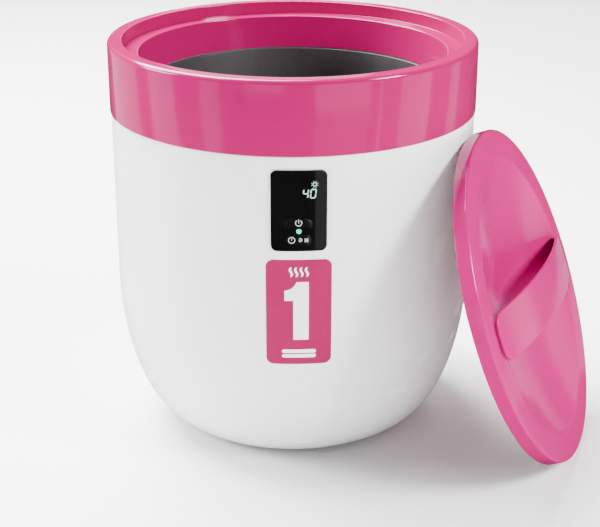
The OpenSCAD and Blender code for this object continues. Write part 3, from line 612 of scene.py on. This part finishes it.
# %% A tree that copies a piece round a circle
def ring_tree():
    """Geometry Nodes: copies of the object's own mesh, set on a circle and turned outwards."""
    tree = bpy.data.node_groups.new("copies round a circle", "GeometryNodeTree")
    face = tree.interface
    face.new_socket("Geometry", in_out="INPUT", socket_type="NodeSocketGeometry")
    for name, kind, value in (("Count", "NodeSocketInt", 8), ("Radius", "NodeSocketFloat", 0.01),
                              ("Start", "NodeSocketFloat", 0.0), ("Finish", "NodeSocketMaterial", None)):
        socket = face.new_socket(name, in_out="INPUT", socket_type=kind)
        if value is not None:
            socket.default_value = value
    face.new_socket("Geometry", in_out="OUTPUT", socket_type="NodeSocketGeometry")
    add = tree.nodes.new
    link = tree.links.new
    given = add("NodeGroupInput")
    circle = add("GeometryNodeMeshCircle")
    link(given.outputs["Count"], circle.inputs["Vertices"])
    link(given.outputs["Radius"], circle.inputs["Radius"])
    index = add("GeometryNodeInputIndex")
    step = add("ShaderNodeMath")
    step.operation = "DIVIDE"
    step.inputs[0].default_value = 2 * math.pi
    link(given.outputs["Count"], step.inputs[1])
    turn = add("ShaderNodeMath")
    turn.operation = "MULTIPLY"
    link(index.outputs["Index"], turn.inputs[0])
    link(step.outputs["Value"], turn.inputs[1])
    euler = add("ShaderNodeCombineXYZ")
    link(turn.outputs["Value"], euler.inputs["Z"])
    rotation = add("FunctionNodeEulerToRotation")
    link(euler.outputs["Vector"], rotation.inputs["Euler"])
    copies = add("GeometryNodeInstanceOnPoints")
    link(circle.outputs["Mesh"], copies.inputs["Points"])
    link(given.outputs["Geometry"], copies.inputs["Instance"])
    link(rotation.outputs["Rotation"], copies.inputs["Rotation"])
    real = add("GeometryNodeRealizeInstances")
    link(copies.outputs["Instances"], real.inputs["Geometry"])
    start = add("ShaderNodeCombineXYZ")
    link(given.outputs["Start"], start.inputs["Z"])
    swing = add("FunctionNodeEulerToRotation")
    link(start.outputs["Vector"], swing.inputs["Euler"])
    move = add("GeometryNodeTransform")
    link(real.outputs["Geometry"], move.inputs["Geometry"])
    link(swing.outputs["Rotation"], move.inputs["Rotation"])
    paint = add("GeometryNodeSetMaterial")
    link(move.outputs["Geometry"], paint.inputs["Geometry"])
    link(given.outputs["Finish"], paint.inputs["Material"])
    out = add("NodeGroupOutput")
    link(paint.outputs["Geometry"], out.inputs["Geometry"])
    return tree


RING = ring_tree()


def round_copies(piece, count, radius, start, finish):
    """Replaces a piece by copies of it on a circle round its own origin."""
    setter = piece.modifiers.new("copies", "NODES")
    setter.node_group = RING
    sockets = {s.name: s.identifier for s in RING.interface.items_tree if s.in_out == "INPUT"}
    setter[sockets["Count"]] = count
    setter[sockets["Radius"]] = radius
    setter[sockets["Start"]] = math.radians(start)
    setter[sockets["Finish"]] = finish
    finished(piece)


def placed(piece, matrix):
    """Moves a piece's mesh and leaves its object at the origin."""
    piece.data.transform(matrix)
    return piece


# %% The heat sign
SUN = (11.7 * MM, 249.4 * MM)
sun = [ring_outline(SUN, 1.55 * MM), ring_outline(SUN, 1.05 * MM)]
on_panel("heat_sign_ring", sun, DIGIT_GLOW, "tub", FACE)
ray_face = [(-0.1 * MM, -0.18 * MM, 0), (0.6 * MM, -0.15 * MM, 0),
            (0.6 * MM, 0.15 * MM, 0), (-0.1 * MM, 0.18 * MM, 0)]
ray_back = [(x, y, -PRINT) for x, y, z in ray_face]
rays = add_piece("heat_sign_rays", ray_face + ray_back,
                 [(0, 1, 2, 3), (7, 6, 5, 4), (0, 4, 5, 1), (1, 5, 6, 2), (2, 6, 7, 3), (3, 7, 4, 0)])
round_copies(rays, 8, 2.15 * MM, 22.5, DIGIT_GLOW)
for vertex in rays.data.vertices:
    x, z = SUN[0] + vertex.co.x, SUN[1] + vertex.co.y
    reach = BODY_R + FACE + PRINT + vertex.co.z
    vertex.co = (x, -math.sqrt(reach * reach - x * x), z)
dress(rays, DIGIT_GLOW, "tub")
print("rays", len(rays.data.polygons), "faces")


# %% Marks on the keys
def open_ring(middle, radius, width, gap, lean=0.0):
    """Outline of a ring with a gap of so many degrees at its top."""
    start = 90 + gap / 2 + lean
    end = 450 - gap / 2 + lean
    return arc(middle, radius, start, end, 28) + arc(middle, radius - width, end, start, 28)


def stroke(x0, z0, x1, z1, width):
    """Outline of a short straight stroke."""
    along = Vector((x1 - x0, z1 - z0)).normalized() * width / 2
    return [(x0 + along.y, z0 - along.x), (x1 + along.y, z1 - along.x),
            (x1 - along.y, z1 + along.x), (x0 - along.y, z0 + along.x)]


def on_key(name, outlines, key):
    """A pale print on a key."""
    on_panel(name, outlines, PALE_INK, key, KEY_FACE)


POWER_MARK = (-0.2 * MM, 219.6 * MM)
marks = [open_ring(POWER_MARK, 2.6 * MM, 0.5 * MM, 70),
         stroke(POWER_MARK[0], POWER_MARK[1] - 0.3 * MM, POWER_MARK[0], POWER_MARK[1] + 2.75 * MM, 0.48 * MM)]
on_key("power_mark", marks, "power_key")
TIMER_MARK = (-5.4 * MM, 206.0 * MM)
marks = [ring_outline(TIMER_MARK, 2.6 * MM), ring_outline(TIMER_MARK, 2.16 * MM)]
on_key("timer_mark", marks, "timer_key")
hands = [stroke(TIMER_MARK[0], TIMER_MARK[1] - 0.1 * MM, TIMER_MARK[0], TIMER_MARK[1] + 1.6 * MM, 0.45 * MM)]
on_key("timer_hand", hands, "timer_key")
DIAL_MARK = (0.9 * MM, 206.2 * MM)
marks = [open_ring(DIAL_MARK, 1.5 * MM, 0.42 * MM, 100, 90),
         stroke(DIAL_MARK[0] - 1.2 * MM, DIAL_MARK[1], DIAL_MARK[0] + 1.0 * MM, DIAL_MARK[1], 0.4 * MM)]
on_key("dial_mark", marks[:1], "timer_key")
on_key("dial_hand", marks[1:], "timer_key")
bars = [stroke(4.2 * MM, z * MM, 7.0 * MM, z * MM, 0.5 * MM) for z in (204.9, 205.9, 206.9)]
on_key("heat_bars", bars, "timer_key")

# %% The status light
LAMP_BACK = -3 * MM
LAMP_PROUD = WINDOW_PROUD - 0.1 * MM
ROD_R = 1.2 * MM
lamp = front_piece("status_light", [ring_outline((0, LIGHT_Z), LIGHT_R)],
                   LAMP_BACK, LAMP_PROUD, panel_r, 0.5 * MM)
soften(lamp, 0.2 * MM, 3, 50)
boolean(lamp, straight("rod", ring_outline((0, LIGHT_Z), ROD_R), -146.2 * MM, -137 * MM), "UNION")
shade(lamp, 40)
dress(lamp, LAMP_GLOW, "tub")
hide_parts("light_guide")

# %% [markdown]
# The label is a printed film, pressed onto the casing where its wall starts to curve in. A film
# this thin only shows its edge as a fine line. Its print is a plain figure, with rising heat
# above it and two plain bars below.

# %% The label
LABEL_W = 50 * MM
LABEL_H = 87 * MM
LABEL_CORNER = 6 * MM
LABEL_Z = PANEL_Z - PANEL_H / 2 - 7.3 * MM - 43.5 * MM
FILM_T = 0.35 * MM
FILM_STRIP = 1.2 * MM
FILM_ROW = 3 * MM
film = front_piece("label_film", [round_rect(LABEL_W, LABEL_H, LABEL_CORNER, (0, LABEL_Z), 10)],
                   TOUCH_GAP, FILM_T, casing_r, FILM_STRIP, FILM_ROW)
soften(film, 0.08 * MM, 2, 50)


def film_finish():
    """Printed film: flat pink ink under a thin satin laminate."""
    finish, tree, shader, where = new_finish("label pink print")
    tree.links.new(ramp(tree, noise(tree, where, 60, 3), linear(147, 1, 73), linear(143, 1, 70)),
                   shader.inputs["Base Color"])
    tree.links.new(ramp(tree, noise(tree, where, 400, 3), 0.36, 0.44), shader.inputs["Roughness"])
    shader.inputs["Specular IOR Level"].default_value = 0.12
    bump(tree, shader, noise(tree, where, 700, 2), 0.03, 0.0002)
    return finish


WHITE_INK = ink("label white ink", linear(252, 252, 252), linear(246, 246, 247))
dress(film, film_finish(), "tub")
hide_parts("front_label")


def on_label(name, outlines):
    """White print on the label."""
    piece = front_piece(name, outlines, 0.36 * MM, 0.38 * MM, casing_r, FILM_STRIP, FILM_ROW)
    dress(piece, WHITE_INK, "tub")


figure = [(7.4, 124.2), (7.4, 171.8), (-1.8, 171.8)]
figure += arc((-11.2, 174.6), 9.8, -16, -88, 9)
figure += [(-10.9, 156.6), (-4.2, 156.6), (-4.2, 124.2)]
on_label("label_figure", [[(x * MM, z * MM) for x, z in figure]])


WAVE_STEPS = 12


def wave(x, z, height, width, sway):
    """Outline of one upright wavy stroke."""
    left = []
    right = []
    for i in range(WAVE_STEPS + 1):
        share = i / WAVE_STEPS
        middle = x + sway * math.sin(2 * math.pi * share)
        half = width / 2 * (0.55 + 0.45 * math.sin(math.pi * share))
        left.append((middle - half, z + height * (share - 0.5)))
        right.append((middle + half, z + height * (share - 0.5)))
    return right + left[::-1]


waves = [wave(x * MM, 180 * MM, 7.6 * MM, 1.9 * MM, 0.75 * MM) for x in (-6, -2, 2, 6)]
on_label("label_heat", waves)
bars = [round_rect(26 * MM, 3 * MM, 1.4 * MM, (0, z * MM)) for z in (110.2, 114.2)]
on_label("label_cloth", bars)

# %% [markdown]
# The lid leans on its edge: its lower rim is on the surface and its upper rim touches the casing.
# All its pieces are drawn in the lid's own frame and then moved by one matrix. The matrix tips
# the lid back from upright, turns it to the front right, and rolls it a little about its own
# axis, which is why the strap isn't level.

# %% Where the lid leans
LEAN = math.radians(20.8)
LEAN_TURN = math.radians(-21.5)
LID_ROLL = math.radians(-4.2)
LEAN_SIDE = -8.8 * MM
LEAN_GAP = 0.3 * MM
LID_R = SEAT_R - 0.7 * MM
LID_EDGE = 11.6 * MM
lean_reach = BODY_R + LEAN_GAP + LID_R * math.sin(LEAN) + LID_EDGE * math.cos(LEAN)
lean_height = LID_R * math.cos(LEAN) + LID_EDGE * math.sin(LEAN)
LEANING = (Matrix.Rotation(LEAN_TURN, 4, "Z") @ Matrix.Translation((lean_reach, LEAN_SIDE, lean_height))
           @ Matrix.Rotation(math.pi / 2 - LEAN, 4, "Y") @ Matrix.Rotation(LID_ROLL, 4, "Z"))
print("lid's middle", [round(c, 4) for c in LEANING.translation])

# %% [markdown]
# The lid's shell is one moulding: a flat face with a tight edge and a dish. Under the strap's near
# end a crescent stands higher than the rest of the dish, which is the finger hollow. The shell is
# drawn as rings. Inside the dish each ring follows the hollow's outline, which keeps the crease
# between hollow and crescent crisp. The last rings turn softly from the dish to the flat face.

# %% The lid's shell
DISH_R = 114 * MM
DISH_DEPTH = 18 * MM
LEDGE_RISE = 9 * MM
LEDGE_IN = 63 * MM
LEDGE_R = 170 * MM
LEDGE_TURN = math.radians(-11.8)
RIM_SOFT = 2 * MM
DISH_CURVE = 2.4
CREASE_W = 0.7 * MM
CREASE_DROP = 0.12 * MM
HOLLOW_MAX = DISH_R - RIM_SOFT - 0.8 * MM
LID_WALL = 2.6 * MM
LID_ROUND = 1.8 * MM
LID_STEPS = 288


def dish_z(r, depth=DISH_DEPTH):
    """Height of the dish's surface at a radius."""
    return -depth * (1 - (r / DISH_R) ** DISH_CURVE)


def hollow_edge(turn):
    """Distance from the dish's middle to the hollow's edge, in a direction."""
    shift = LEDGE_R - LEDGE_IN
    along = math.sin(turn - LEDGE_TURN)
    across = math.cos(turn - LEDGE_TURN)
    edge = shift * along + math.sqrt(LEDGE_R ** 2 - (shift * across) ** 2)
    return min(edge, HOLLOW_MAX)


def rim_depth(turn):
    """Depth of the surface that meets the flat face: the crescent's, or else the dish's."""
    return DISH_DEPTH - LEDGE_RISE * (hollow_edge(turn) < HOLLOW_MAX)


def ring_at(place):
    """One closed ring: place gives the radius and height in a direction."""
    points = []
    for i in range(LID_STEPS):
        turn = 2 * math.pi * i / LID_STEPS
        radius, height = place(turn)
        points.append((radius * math.cos(turn), radius * math.sin(turn), height))
    return points


def hollow_ring(share):
    """A ring in the hollow, from its middle at 0 to its edge at 1."""
    return lambda turn: (hollow_edge(turn) * share, dish_z(hollow_edge(turn) * share))


def ledge_ring(share):
    """A ring on the crescent, from the hollow's edge at 0 to the dish's rim at 1."""
    def place(turn):
        start = hollow_edge(turn) + CREASE_W
        radius = start + (DISH_R - RIM_SOFT - start) * share
        return radius, dish_z(radius, rim_depth(turn))
    return place


def rim_ring(share):
    """A ring on the soft turn from the dish to the flat face."""
    def place(turn):
        low = dish_z(DISH_R - RIM_SOFT, rim_depth(turn))
        return DISH_R + RIM_SOFT * (2 * share - 1), low * (1 - share) ** 2
    return place


def crease_ring(turn):
    """The crescent's edge, a little rounded."""
    radius = hollow_edge(turn) + CREASE_W / 2
    return radius, dish_z(radius, rim_depth(turn)) - CREASE_DROP * (rim_depth(turn) < DISH_DEPTH)


def flat_ring(radius, height):
    """A plain round ring."""
    return lambda turn: (radius, height)


lid_rings = [hollow_ring(i / 44) for i in range(1, 45)] + [crease_ring]
lid_rings += [ledge_ring(i / 16) for i in range(16)] + [rim_ring(i / 6) for i in range(7)]
section = arc((LID_R - LID_ROUND, -LID_ROUND), LID_ROUND, 90, 0, 10)
section += arc((LID_R - 0.6 * MM, -LID_EDGE + 0.6 * MM), 0.6 * MM, 0, -90, 4)
section += [(LID_R - LID_WALL, -LID_EDGE), (LID_R - LID_WALL, -LID_WALL), (DISH_R, -LID_WALL)]
section += [(DISH_R * i / 16, dish_z(DISH_R * i / 16) - LID_WALL) for i in range(15, 0, -1)]
lid_rings += [flat_ring(radius, height) for radius, height in section]
verts = [(0, 0, -DISH_DEPTH)]
for place in lid_rings:
    verts += ring_at(place)
verts.append((0, 0, -DISH_DEPTH - LID_WALL))
faces = []
for i in range(LID_STEPS):
    j = (i + 1) % LID_STEPS
    faces.append((0, 1 + i, 1 + j))
    for k in range(len(lid_rings) - 1):
        low = 1 + k * LID_STEPS
        high = low + LID_STEPS
        faces.append((low + i, high + i, high + j, low + j))
    faces.append((high + j, high + i, len(verts) - 1))
lid_shell = placed(add_piece("lid_dish", verts, faces, 18), LEANING)
dress(lid_shell, LID_PINK, "lid")
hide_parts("lid_shell")
print("lid", len(lid_rings), "rings")

# %% [markdown]
# The handle is a flat strap. It arches over the dish in one long low curve and lands on the flat
# face at both sides, in ends with large round corners. Its outline is drawn flat, stacked in rings
# that round its edges, and every point is then laid on the arch.

# %% The strap handle
STRAP_W = 38 * MM
STRAP_T = 2.6 * MM
STRAP_RISE = 12.8 * MM
STRAP_GAP = 0.1 * MM
STRAP_REACH = DISH_R + 4 * MM
STRAP_EDGE = 0.5 * MM
TAB_CORNER = 13 * MM
ARCH_R = (STRAP_REACH ** 2 + STRAP_RISE ** 2) / (2 * STRAP_RISE)
ARCH_TOP = STRAP_GAP + STRAP_T + STRAP_RISE


def strap_side(inset):
    """One long side of the strap's outline with its two corners, from end to end."""
    straight_end = STRAP_REACH - TAB_CORNER
    middle = STRAP_W / 2 - TAB_CORNER
    side = arc((middle, -straight_end), TAB_CORNER - inset, -90, 0, 14)
    side += [(STRAP_W / 2 - inset, straight_end * (i / 40 - 1)) for i in range(1, 80)]
    return side + arc((middle, straight_end), TAB_CORNER - inset, 0, 90, 14)


def on_arch(across, along, depth):
    """Where a point of the flat outline lies once the strap is bent. Depth is below its top."""
    slope = along / ARCH_R
    rise = math.sqrt(1 - slope * slope)
    return across, along - depth * slope, ARCH_TOP - ARCH_R + (ARCH_R - depth) * rise


# Each ring of the edge is given by its angle round the edge and by how far its centre lies down
verts = []
section = [(90 - 18 * i, 0) for i in range(6)] + [(-18 * i, STRAP_T - 2 * STRAP_EDGE) for i in range(6)]
for angle, lower in section:
    inset = STRAP_EDGE * (1 - math.cos(math.radians(angle)))
    depth = lower + STRAP_EDGE * (1 - math.sin(math.radians(angle)))
    side = strap_side(inset)
    verts += [on_arch(across, along, depth) for across, along in side]
    verts += [on_arch(-across, along, depth) for across, along in reversed(side)]
count = 2 * len(side)
faces = []
for k in range(len(section) - 1):
    for i in range(count):
        j = (i + 1) % count
        faces.append((count * k + i, count * (k + 1) + i, count * (k + 1) + j, count * k + j))
last = count * (len(section) - 1)
for i in range(len(side) - 1):
    mirrored = count - 1 - i
    faces.append((i, i + 1, mirrored - 1, mirrored))
    faces.append((last + i, last + mirrored, last + mirrored - 1, last + i + 1))
strap = add_piece("strap_handle", verts, faces, 40)
placed(strap, LEANING)
dress(strap, LID_PINK, "lid")
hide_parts("lid_handle")
print("strap", len(strap.data.polygons), "faces")

# %% [markdown]
# The lid's underside is closed by a shallow pan, held by four screws, with a ring of pale seal
# that sits on the collar's ledge when the tub is shut. The photograph doesn't show it. It is what
# shows from behind, and its shape and darker pink are a guess.

# %% The lid's underside
COVER_T = 2.2 * MM
PAN_R = 104 * MM
PAN_DROP = 24 * MM
cover_r = LID_R - LID_WALL - 0.4 * MM
cover_z = -LID_EDGE
outline = [(0, -PAN_DROP)]
outline += arc((PAN_R - 3 * MM, -PAN_DROP + 3 * MM), 3 * MM, -90, -10, 6)
outline += [(PAN_R + 4 * MM, cover_z - 0.8 * MM), (PAN_R + 5 * MM, cover_z), (cover_r, cover_z),
            (cover_r, cover_z + COVER_T), (PAN_R + 5 * MM - COVER_T, cover_z + COVER_T),
            (PAN_R - COVER_T, -PAN_DROP + 2 * MM + COVER_T), (PAN_R - COVER_T - 1 * MM, -PAN_DROP + COVER_T),
            (0, -PAN_DROP + COVER_T)]
UNDER_PINK = plastic("under cover pink", linear(122, 4, 62), linear(117, 3, 59),
                     gloss=(0.3, 0.4), ripple=0.05)
pan = placed(turned("lid_pan", outline), LEANING)
dress(pan, UNDER_PINK, "lid")
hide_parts("lid_under_cover")


def rubber(name, colour, shadow):
    """Soft rubber: dull, with a fine even grain."""
    finish, tree, shader, where = new_finish(name)
    tree.links.new(ramp(tree, noise(tree, where, 120, 3), colour, shadow), shader.inputs["Base Color"])
    tree.links.new(ramp(tree, noise(tree, where, 60, 2), 0.6, 0.75), shader.inputs["Roughness"])
    bump(tree, shader, noise(tree, where, 2600, 2), 0.2, 0.0001)
    return finish


SEAL_WHITE = rubber("pale seal rubber", linear(226, 226, 222), linear(214, 214, 210))
seal_low = cover_z - 0.8 * MM
SEAL_OUT = cover_r - 2.8 * MM
SEAL_IN = SEAL_OUT - 4 * MM
outline = arc((SEAL_OUT - 0.7 * MM, seal_low + 0.7 * MM), 0.7 * MM, -90, 0, 5)
outline += [(SEAL_OUT, seal_low + 1.8 * MM), (SEAL_IN, seal_low + 1.8 * MM)]
outline += arc((SEAL_IN + 0.7 * MM, seal_low + 0.7 * MM), 0.7 * MM, 180, 270, 5)
seal = placed(turned("lid_seal_ring", outline), LEANING)
dress(seal, SEAL_WHITE, "lid")
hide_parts("lid_seal")

# %% [markdown]
# Feet and screws come in rings of four. One is modelled with its rounded head and its cross
# recess, and the tree from before sets all four. A fifth foot stands in the middle.

# %% Feet and screws
def steel(name):
    """Plated steel with fine scratches."""
    finish, tree, shader, where = new_finish(name)
    shader.inputs["Metallic"].default_value = 1.0
    tree.links.new(ramp(tree, noise(tree, where, 300, 2), linear(190, 190, 192), linear(170, 170, 174)),
                   shader.inputs["Base Color"])
    tree.links.new(ramp(tree, noise(tree, where, 2000, 4, 0.7), 0.25, 0.45), shader.inputs["Roughness"])
    bump(tree, shader, noise(tree, where, 3000, 2), 0.05, 0.0001)
    return finish


STEEL = steel("plated steel")
FOOT_GREY = rubber("foot rubber", linear(44, 44, 46), linear(34, 34, 36))
FOOT_RING_R = 68 * MM
BASE_SCREW_R = 88 * MM
foot_top = FOOT_H + 1.2 * MM
foot_outline = [(0, 0)] + arc((7 * MM, 1 * MM), 1 * MM, -90, 0, 6) + [(8 * MM, foot_top), (0, foot_top)]
foot = turned("rubber_feet_ring", foot_outline, 48)
middle_foot = foot.data.copy()
round_copies(foot, 4, FOOT_RING_R, 0, FOOT_GREY)
work = bmesh.new()
work.from_mesh(foot.data)
work.from_mesh(middle_foot)
work.to_mesh(foot.data)
work.free()
shade(foot)
dress(foot, FOOT_GREY, "tub")
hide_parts("rubber_feet")


def screw_ring(name, length, count, radius, start, matrix, body, node):
    """A ring of small screws with rounded heads, pointing up from their heads."""
    head = [(0, -2 * MM), (1.5 * MM, -1.9 * MM), (2.4 * MM, -1.5 * MM), (2.8 * MM, -0.8 * MM), (2.8 * MM, 0)]
    piece = turned(name, head + [(1.45 * MM, 0), (1.45 * MM, length), (0, length)], 32)
    upright = Matrix.Rotation(math.radians(90), 4, "X") @ Matrix.Scale(-1, 4, (0, 1, 0))
    for turn in (0, 90):
        slot = round_rect(3.2 * MM, 0.8 * MM, 0.2 * MM, (0, 0), 2)
        cutter = straight("slot", slot, -2.2 * MM, -1.2 * MM)
        cutter.data.transform(Matrix.Rotation(math.radians(turn), 4, "Z") @ upright)
        # The scale of -1 turned the cutter inside out
        cutter.data.flip_normals()
        boolean(piece, cutter, "DIFFERENCE")
    round_copies(piece, count, radius, start, STEEL)
    shade(piece, 35)
    placed(piece, matrix)
    dress(piece, STEEL, body)
    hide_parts(node)
    return piece


base_screws = screw_ring("base_cover_screws", 9 * MM, 4, BASE_SCREW_R, 45,
                         Matrix.Translation((0, 0, FOOT_H + 2.2 * MM)), "tub", "base_screws")
screw_ring("lid_pan_screws", 7.2 * MM, 4, (PAN_R + 5 * MM + SEAL_IN) / 2, 45,
           LEANING @ Matrix.Translation((0, 0, cover_z)), "lid", "lid_screws")
print("screws", len(base_screws.data.polygons), "faces in a ring")

# %% [markdown]
# The rest of the pieces are already right in the CAD model, and most are inside. Each still gets
# a finish of its own, because they show when the tub is taken apart.

# %% Finishes for the inner pieces
def wool(name):
    """Felted insulation: matted fibres in pale cream."""
    finish, tree, shader, where = new_finish(name)
    fibres = noise(tree, where, 700, 6, 0.75)
    tree.links.new(ramp(tree, fibres, linear(236, 228, 206), linear(202, 192, 166)),
                   shader.inputs["Base Color"])
    shader.inputs["Roughness"].default_value = 0.95
    shader.inputs["Sheen Weight"].default_value = 0.4
    bump(tree, shader, fibres, 0.8, 0.001)
    return finish


def board(name):
    """A circuit board: green lacquer over copper tracks."""
    finish, tree, shader, where = new_finish(name)
    cells = tree.nodes.new("ShaderNodeTexBrick")
    cells.inputs["Scale"].default_value = 180
    cells.inputs["Color1"].default_value = linear(22, 84, 48)
    cells.inputs["Color2"].default_value = linear(18, 74, 42)
    cells.inputs["Mortar"].default_value = linear(60, 128, 74)
    cells.inputs["Mortar Size"].default_value = 0.06
    tree.links.new(where, cells.inputs["Vector"])
    tree.links.new(cells.outputs["Color"], shader.inputs["Base Color"])
    tree.links.new(ramp(tree, noise(tree, where, 200, 2), 0.25, 0.35), shader.inputs["Roughness"])
    bump(tree, shader, cells.outputs["Fac"], 0.2, 0.0001)
    return finish


WOOL = wool("cream insulation")
BOARD = board("green board")
BELT = rubber("belt rubber", linear(184, 92, 36), linear(168, 80, 30))
LEAD = plastic("lead sleeve", linear(206, 196, 178), linear(196, 186, 168), gloss=(0.4, 0.55))
MATTE_BLACK = plastic("matte black plastic", linear(26, 26, 27), linear(32, 32, 33),
                      gloss=(0.45, 0.6), ripple=0.15, ripple_scale=1500)
MATTE_WHITE = plastic("base white plastic", linear(232, 232, 231), linear(226, 226, 226),
                      gloss=(0.35, 0.5), ripple=0.12, ripple_scale=1500)
GASKET = rubber("gasket rubber", linear(90, 90, 90), linear(80, 80, 80))
for finish, names in ((WOOL, ("insulation_wrap", "base_insulation", "lid_insulation")),
                      (BOARD, ("power_board", "control_board")), (BELT, ("heating_belt",)),
                      (LEAD, ("panel_cable", "heater_lead")), (GASKET, ("liner_gasket",)),
                      (MATTE_WHITE, ("base_cover",)),
                      (STEEL, ("thermal_cutoff", "liner_screws", "collar_screws", "board_screws",
                               "housing_screws")),
                      (MATTE_BLACK, ("temperature_sensor", "panel_housing", "display_module",
                                     "button_switches", "cord_gland"))):
    for name in names:
        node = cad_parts[name]
        node.data.materials.clear()
        node.data.materials.append(finish)

# %% [markdown]
# The set is a plain pale floor that rises into a backdrop, so no horizon shows. Black gloss and
# deep pink only look deep when they mirror something dark. So the floor lights the bucket but
# isn't mirrored in it, as when a photographer lays black cards down round a product.

# %% The set
def studio_finish():
    """Matte white board."""
    finish, tree, shader, where = new_finish("studio white")
    tree.links.new(ramp(tree, noise(tree, where, 3, 2), linear(251, 251, 251), linear(250, 250, 250)),
                   shader.inputs["Base Color"])
    shader.inputs["Roughness"].default_value = 0.9
    shader.inputs["Specular IOR Level"].default_value = 0.1
    return finish


def board_along(name, section, half_width, finish):
    """A sheet of board whose side view is a list of (y, z) points."""
    verts = []
    for y, z in section:
        verts += [(-half_width, y, z), (half_width, y, z)]
    faces = [(2 * i, 2 * i + 1, 2 * i + 3, 2 * i + 2) for i in range(len(section) - 1)]
    sheet = add_piece(name, verts, faces, 80)
    if sheet.data.polygons[0].normal.z < 0:
        sheet.data.flip_normals()
    sheet.data.materials.append(finish)
    return sheet


COVE_Y = 2.2
COVE_R = 1.2
turns = [math.radians(a) for a in range(0, 91, 6)]
rise = [(COVE_Y + COVE_R * math.sin(turn), COVE_R - COVE_R * math.cos(turn)) for turn in turns]
floor = board_along("studio_floor", [(-4.0, 0.0)] + rise + [(3.4, 5.0)], 6, studio_finish())
floor.visible_glossy = False

# %% [markdown]
# One broad light overhead does most of the work, and throws a soft shadow to the front right. A
# small light at the left fills the casing, and a small bright one at the front right draws the
# strap's shadow in the dish. Upright cards stand all round, mainly to be mirrored: the collar's
# band shows them as the pale streaks that run down it, and the black window shows one along its
# right side. They reach below the floor, because the band mirrors what lies low.

# %% Soft lights
CARD_AWAY = 0.9


def soft_light(name, place, aim, size, radiance):
    """A rectangular soft light, set by how bright its face is. The camera can't see it."""
    data = bpy.data.lights.new(name, "AREA")
    data.shape = "RECTANGLE"
    data.size, data.size_y = size
    data.energy = radiance * math.pi * size[0] * size[1]
    light = bpy.data.objects.new(name, data)
    light.location = place
    light.rotation_euler = (Vector(aim) - Vector(place)).to_track_quat("-Z", "Y").to_euler()
    light.visible_camera = False
    bpy.context.scene.collection.objects.link(light)
    return light


def card(name, start, end, radiance, low=-0.4, high=0.35):
    """An upright soft light between two directions, in degrees to the right of the front."""
    turn = math.radians((start + end) / 2)
    width = 2 * CARD_AWAY * math.tan(math.radians(end - start) / 2)
    middle = (low + high) / 2
    place = (CARD_AWAY * math.sin(turn), -CARD_AWAY * math.cos(turn), middle)
    soft_light(name, place, (0, 0, middle), (width, high - low), radiance)


soft_light("main light", (-0.7, 0.8, 1.8), (0, 0, 0.1), (1.4, 1.4), 48)
soft_light("left light", (-1.9, 0.0, 1.0), (0, 0, 0.2), (0.8, 0.8), 28)
soft_light("right light", (1.6, -0.9, 1.4), (0.15, 0, 0.15), (0.6, 0.6), 88)
soft_light("back card", (0.0, 1.7, 0.8), (0, 0, 0.33), (0.4, 0.5), 1.2)
card("far left card", -140, -104, 1.2)
card("left card", -92, -72, 2.0)
card("left strip", -55, -42.5, 1.8)
card("upper strip", -28, -6.5, 1.8, low=0.13)
card("front card", 10.7, 41.6, 2.0, low=0.035)
card("front card's foot", 10.7, 41.6, 0.7, high=0.035)
card("thin strip", 47.8, 48.8, 4.0)
card("right card", 61.4, 83.7, 2.2)
card("far right card", 101.7, 112, 0.9)

# %% [markdown]
# The dish's far side and the strap's far end mirror the floor behind the lid, which isn't mirrored
# here. A low card lies there in its place. It is tinted as the pink's own shine is, so that it
# doesn't leave a white veil, and it only shows in reflections.

# %% The low card and the air
low_card = soft_light("low card behind the lid", (0.41, 0.33, 0.004), (0.41, 0.33, 1), (0.26, 0.55), 0.8)
low_card.visible_diffuse = False
low_card.data.color = PINK_SHINE[:3]

AIR_LIGHT = 0.07
world = bpy.data.worlds.new("studio world")
world.use_nodes = True
world.node_tree.nodes["Background"].inputs["Color"].default_value = (1, 1, 1, 1)
world.node_tree.nodes["Background"].inputs["Strength"].default_value = AIR_LIGHT
bpy.context.scene.world = world

# %% [markdown]
# The camera stands where the photographer stood. Its height, distance and lens were found by
# fitting the ellipses of the collar and the liner to the photograph.

# %% The camera
LENS = 83.84
TIPPED_DOWN = 21.79
TURNED_RIGHT = 1.895
camera_data = bpy.data.cameras.new("camera")
camera_data.sensor_fit = "HORIZONTAL"
camera_data.sensor_width = 36
camera_data.lens = LENS
camera = bpy.data.objects.new("camera", camera_data)
camera.location = (-31.3 * MM, -1120.4 * MM, 575.4 * MM)
camera.rotation_euler = (math.radians(90 - TIPPED_DOWN), 0, math.radians(-TURNED_RIGHT))
bpy.context.scene.collection.objects.link(camera)
bpy.context.scene.camera = camera
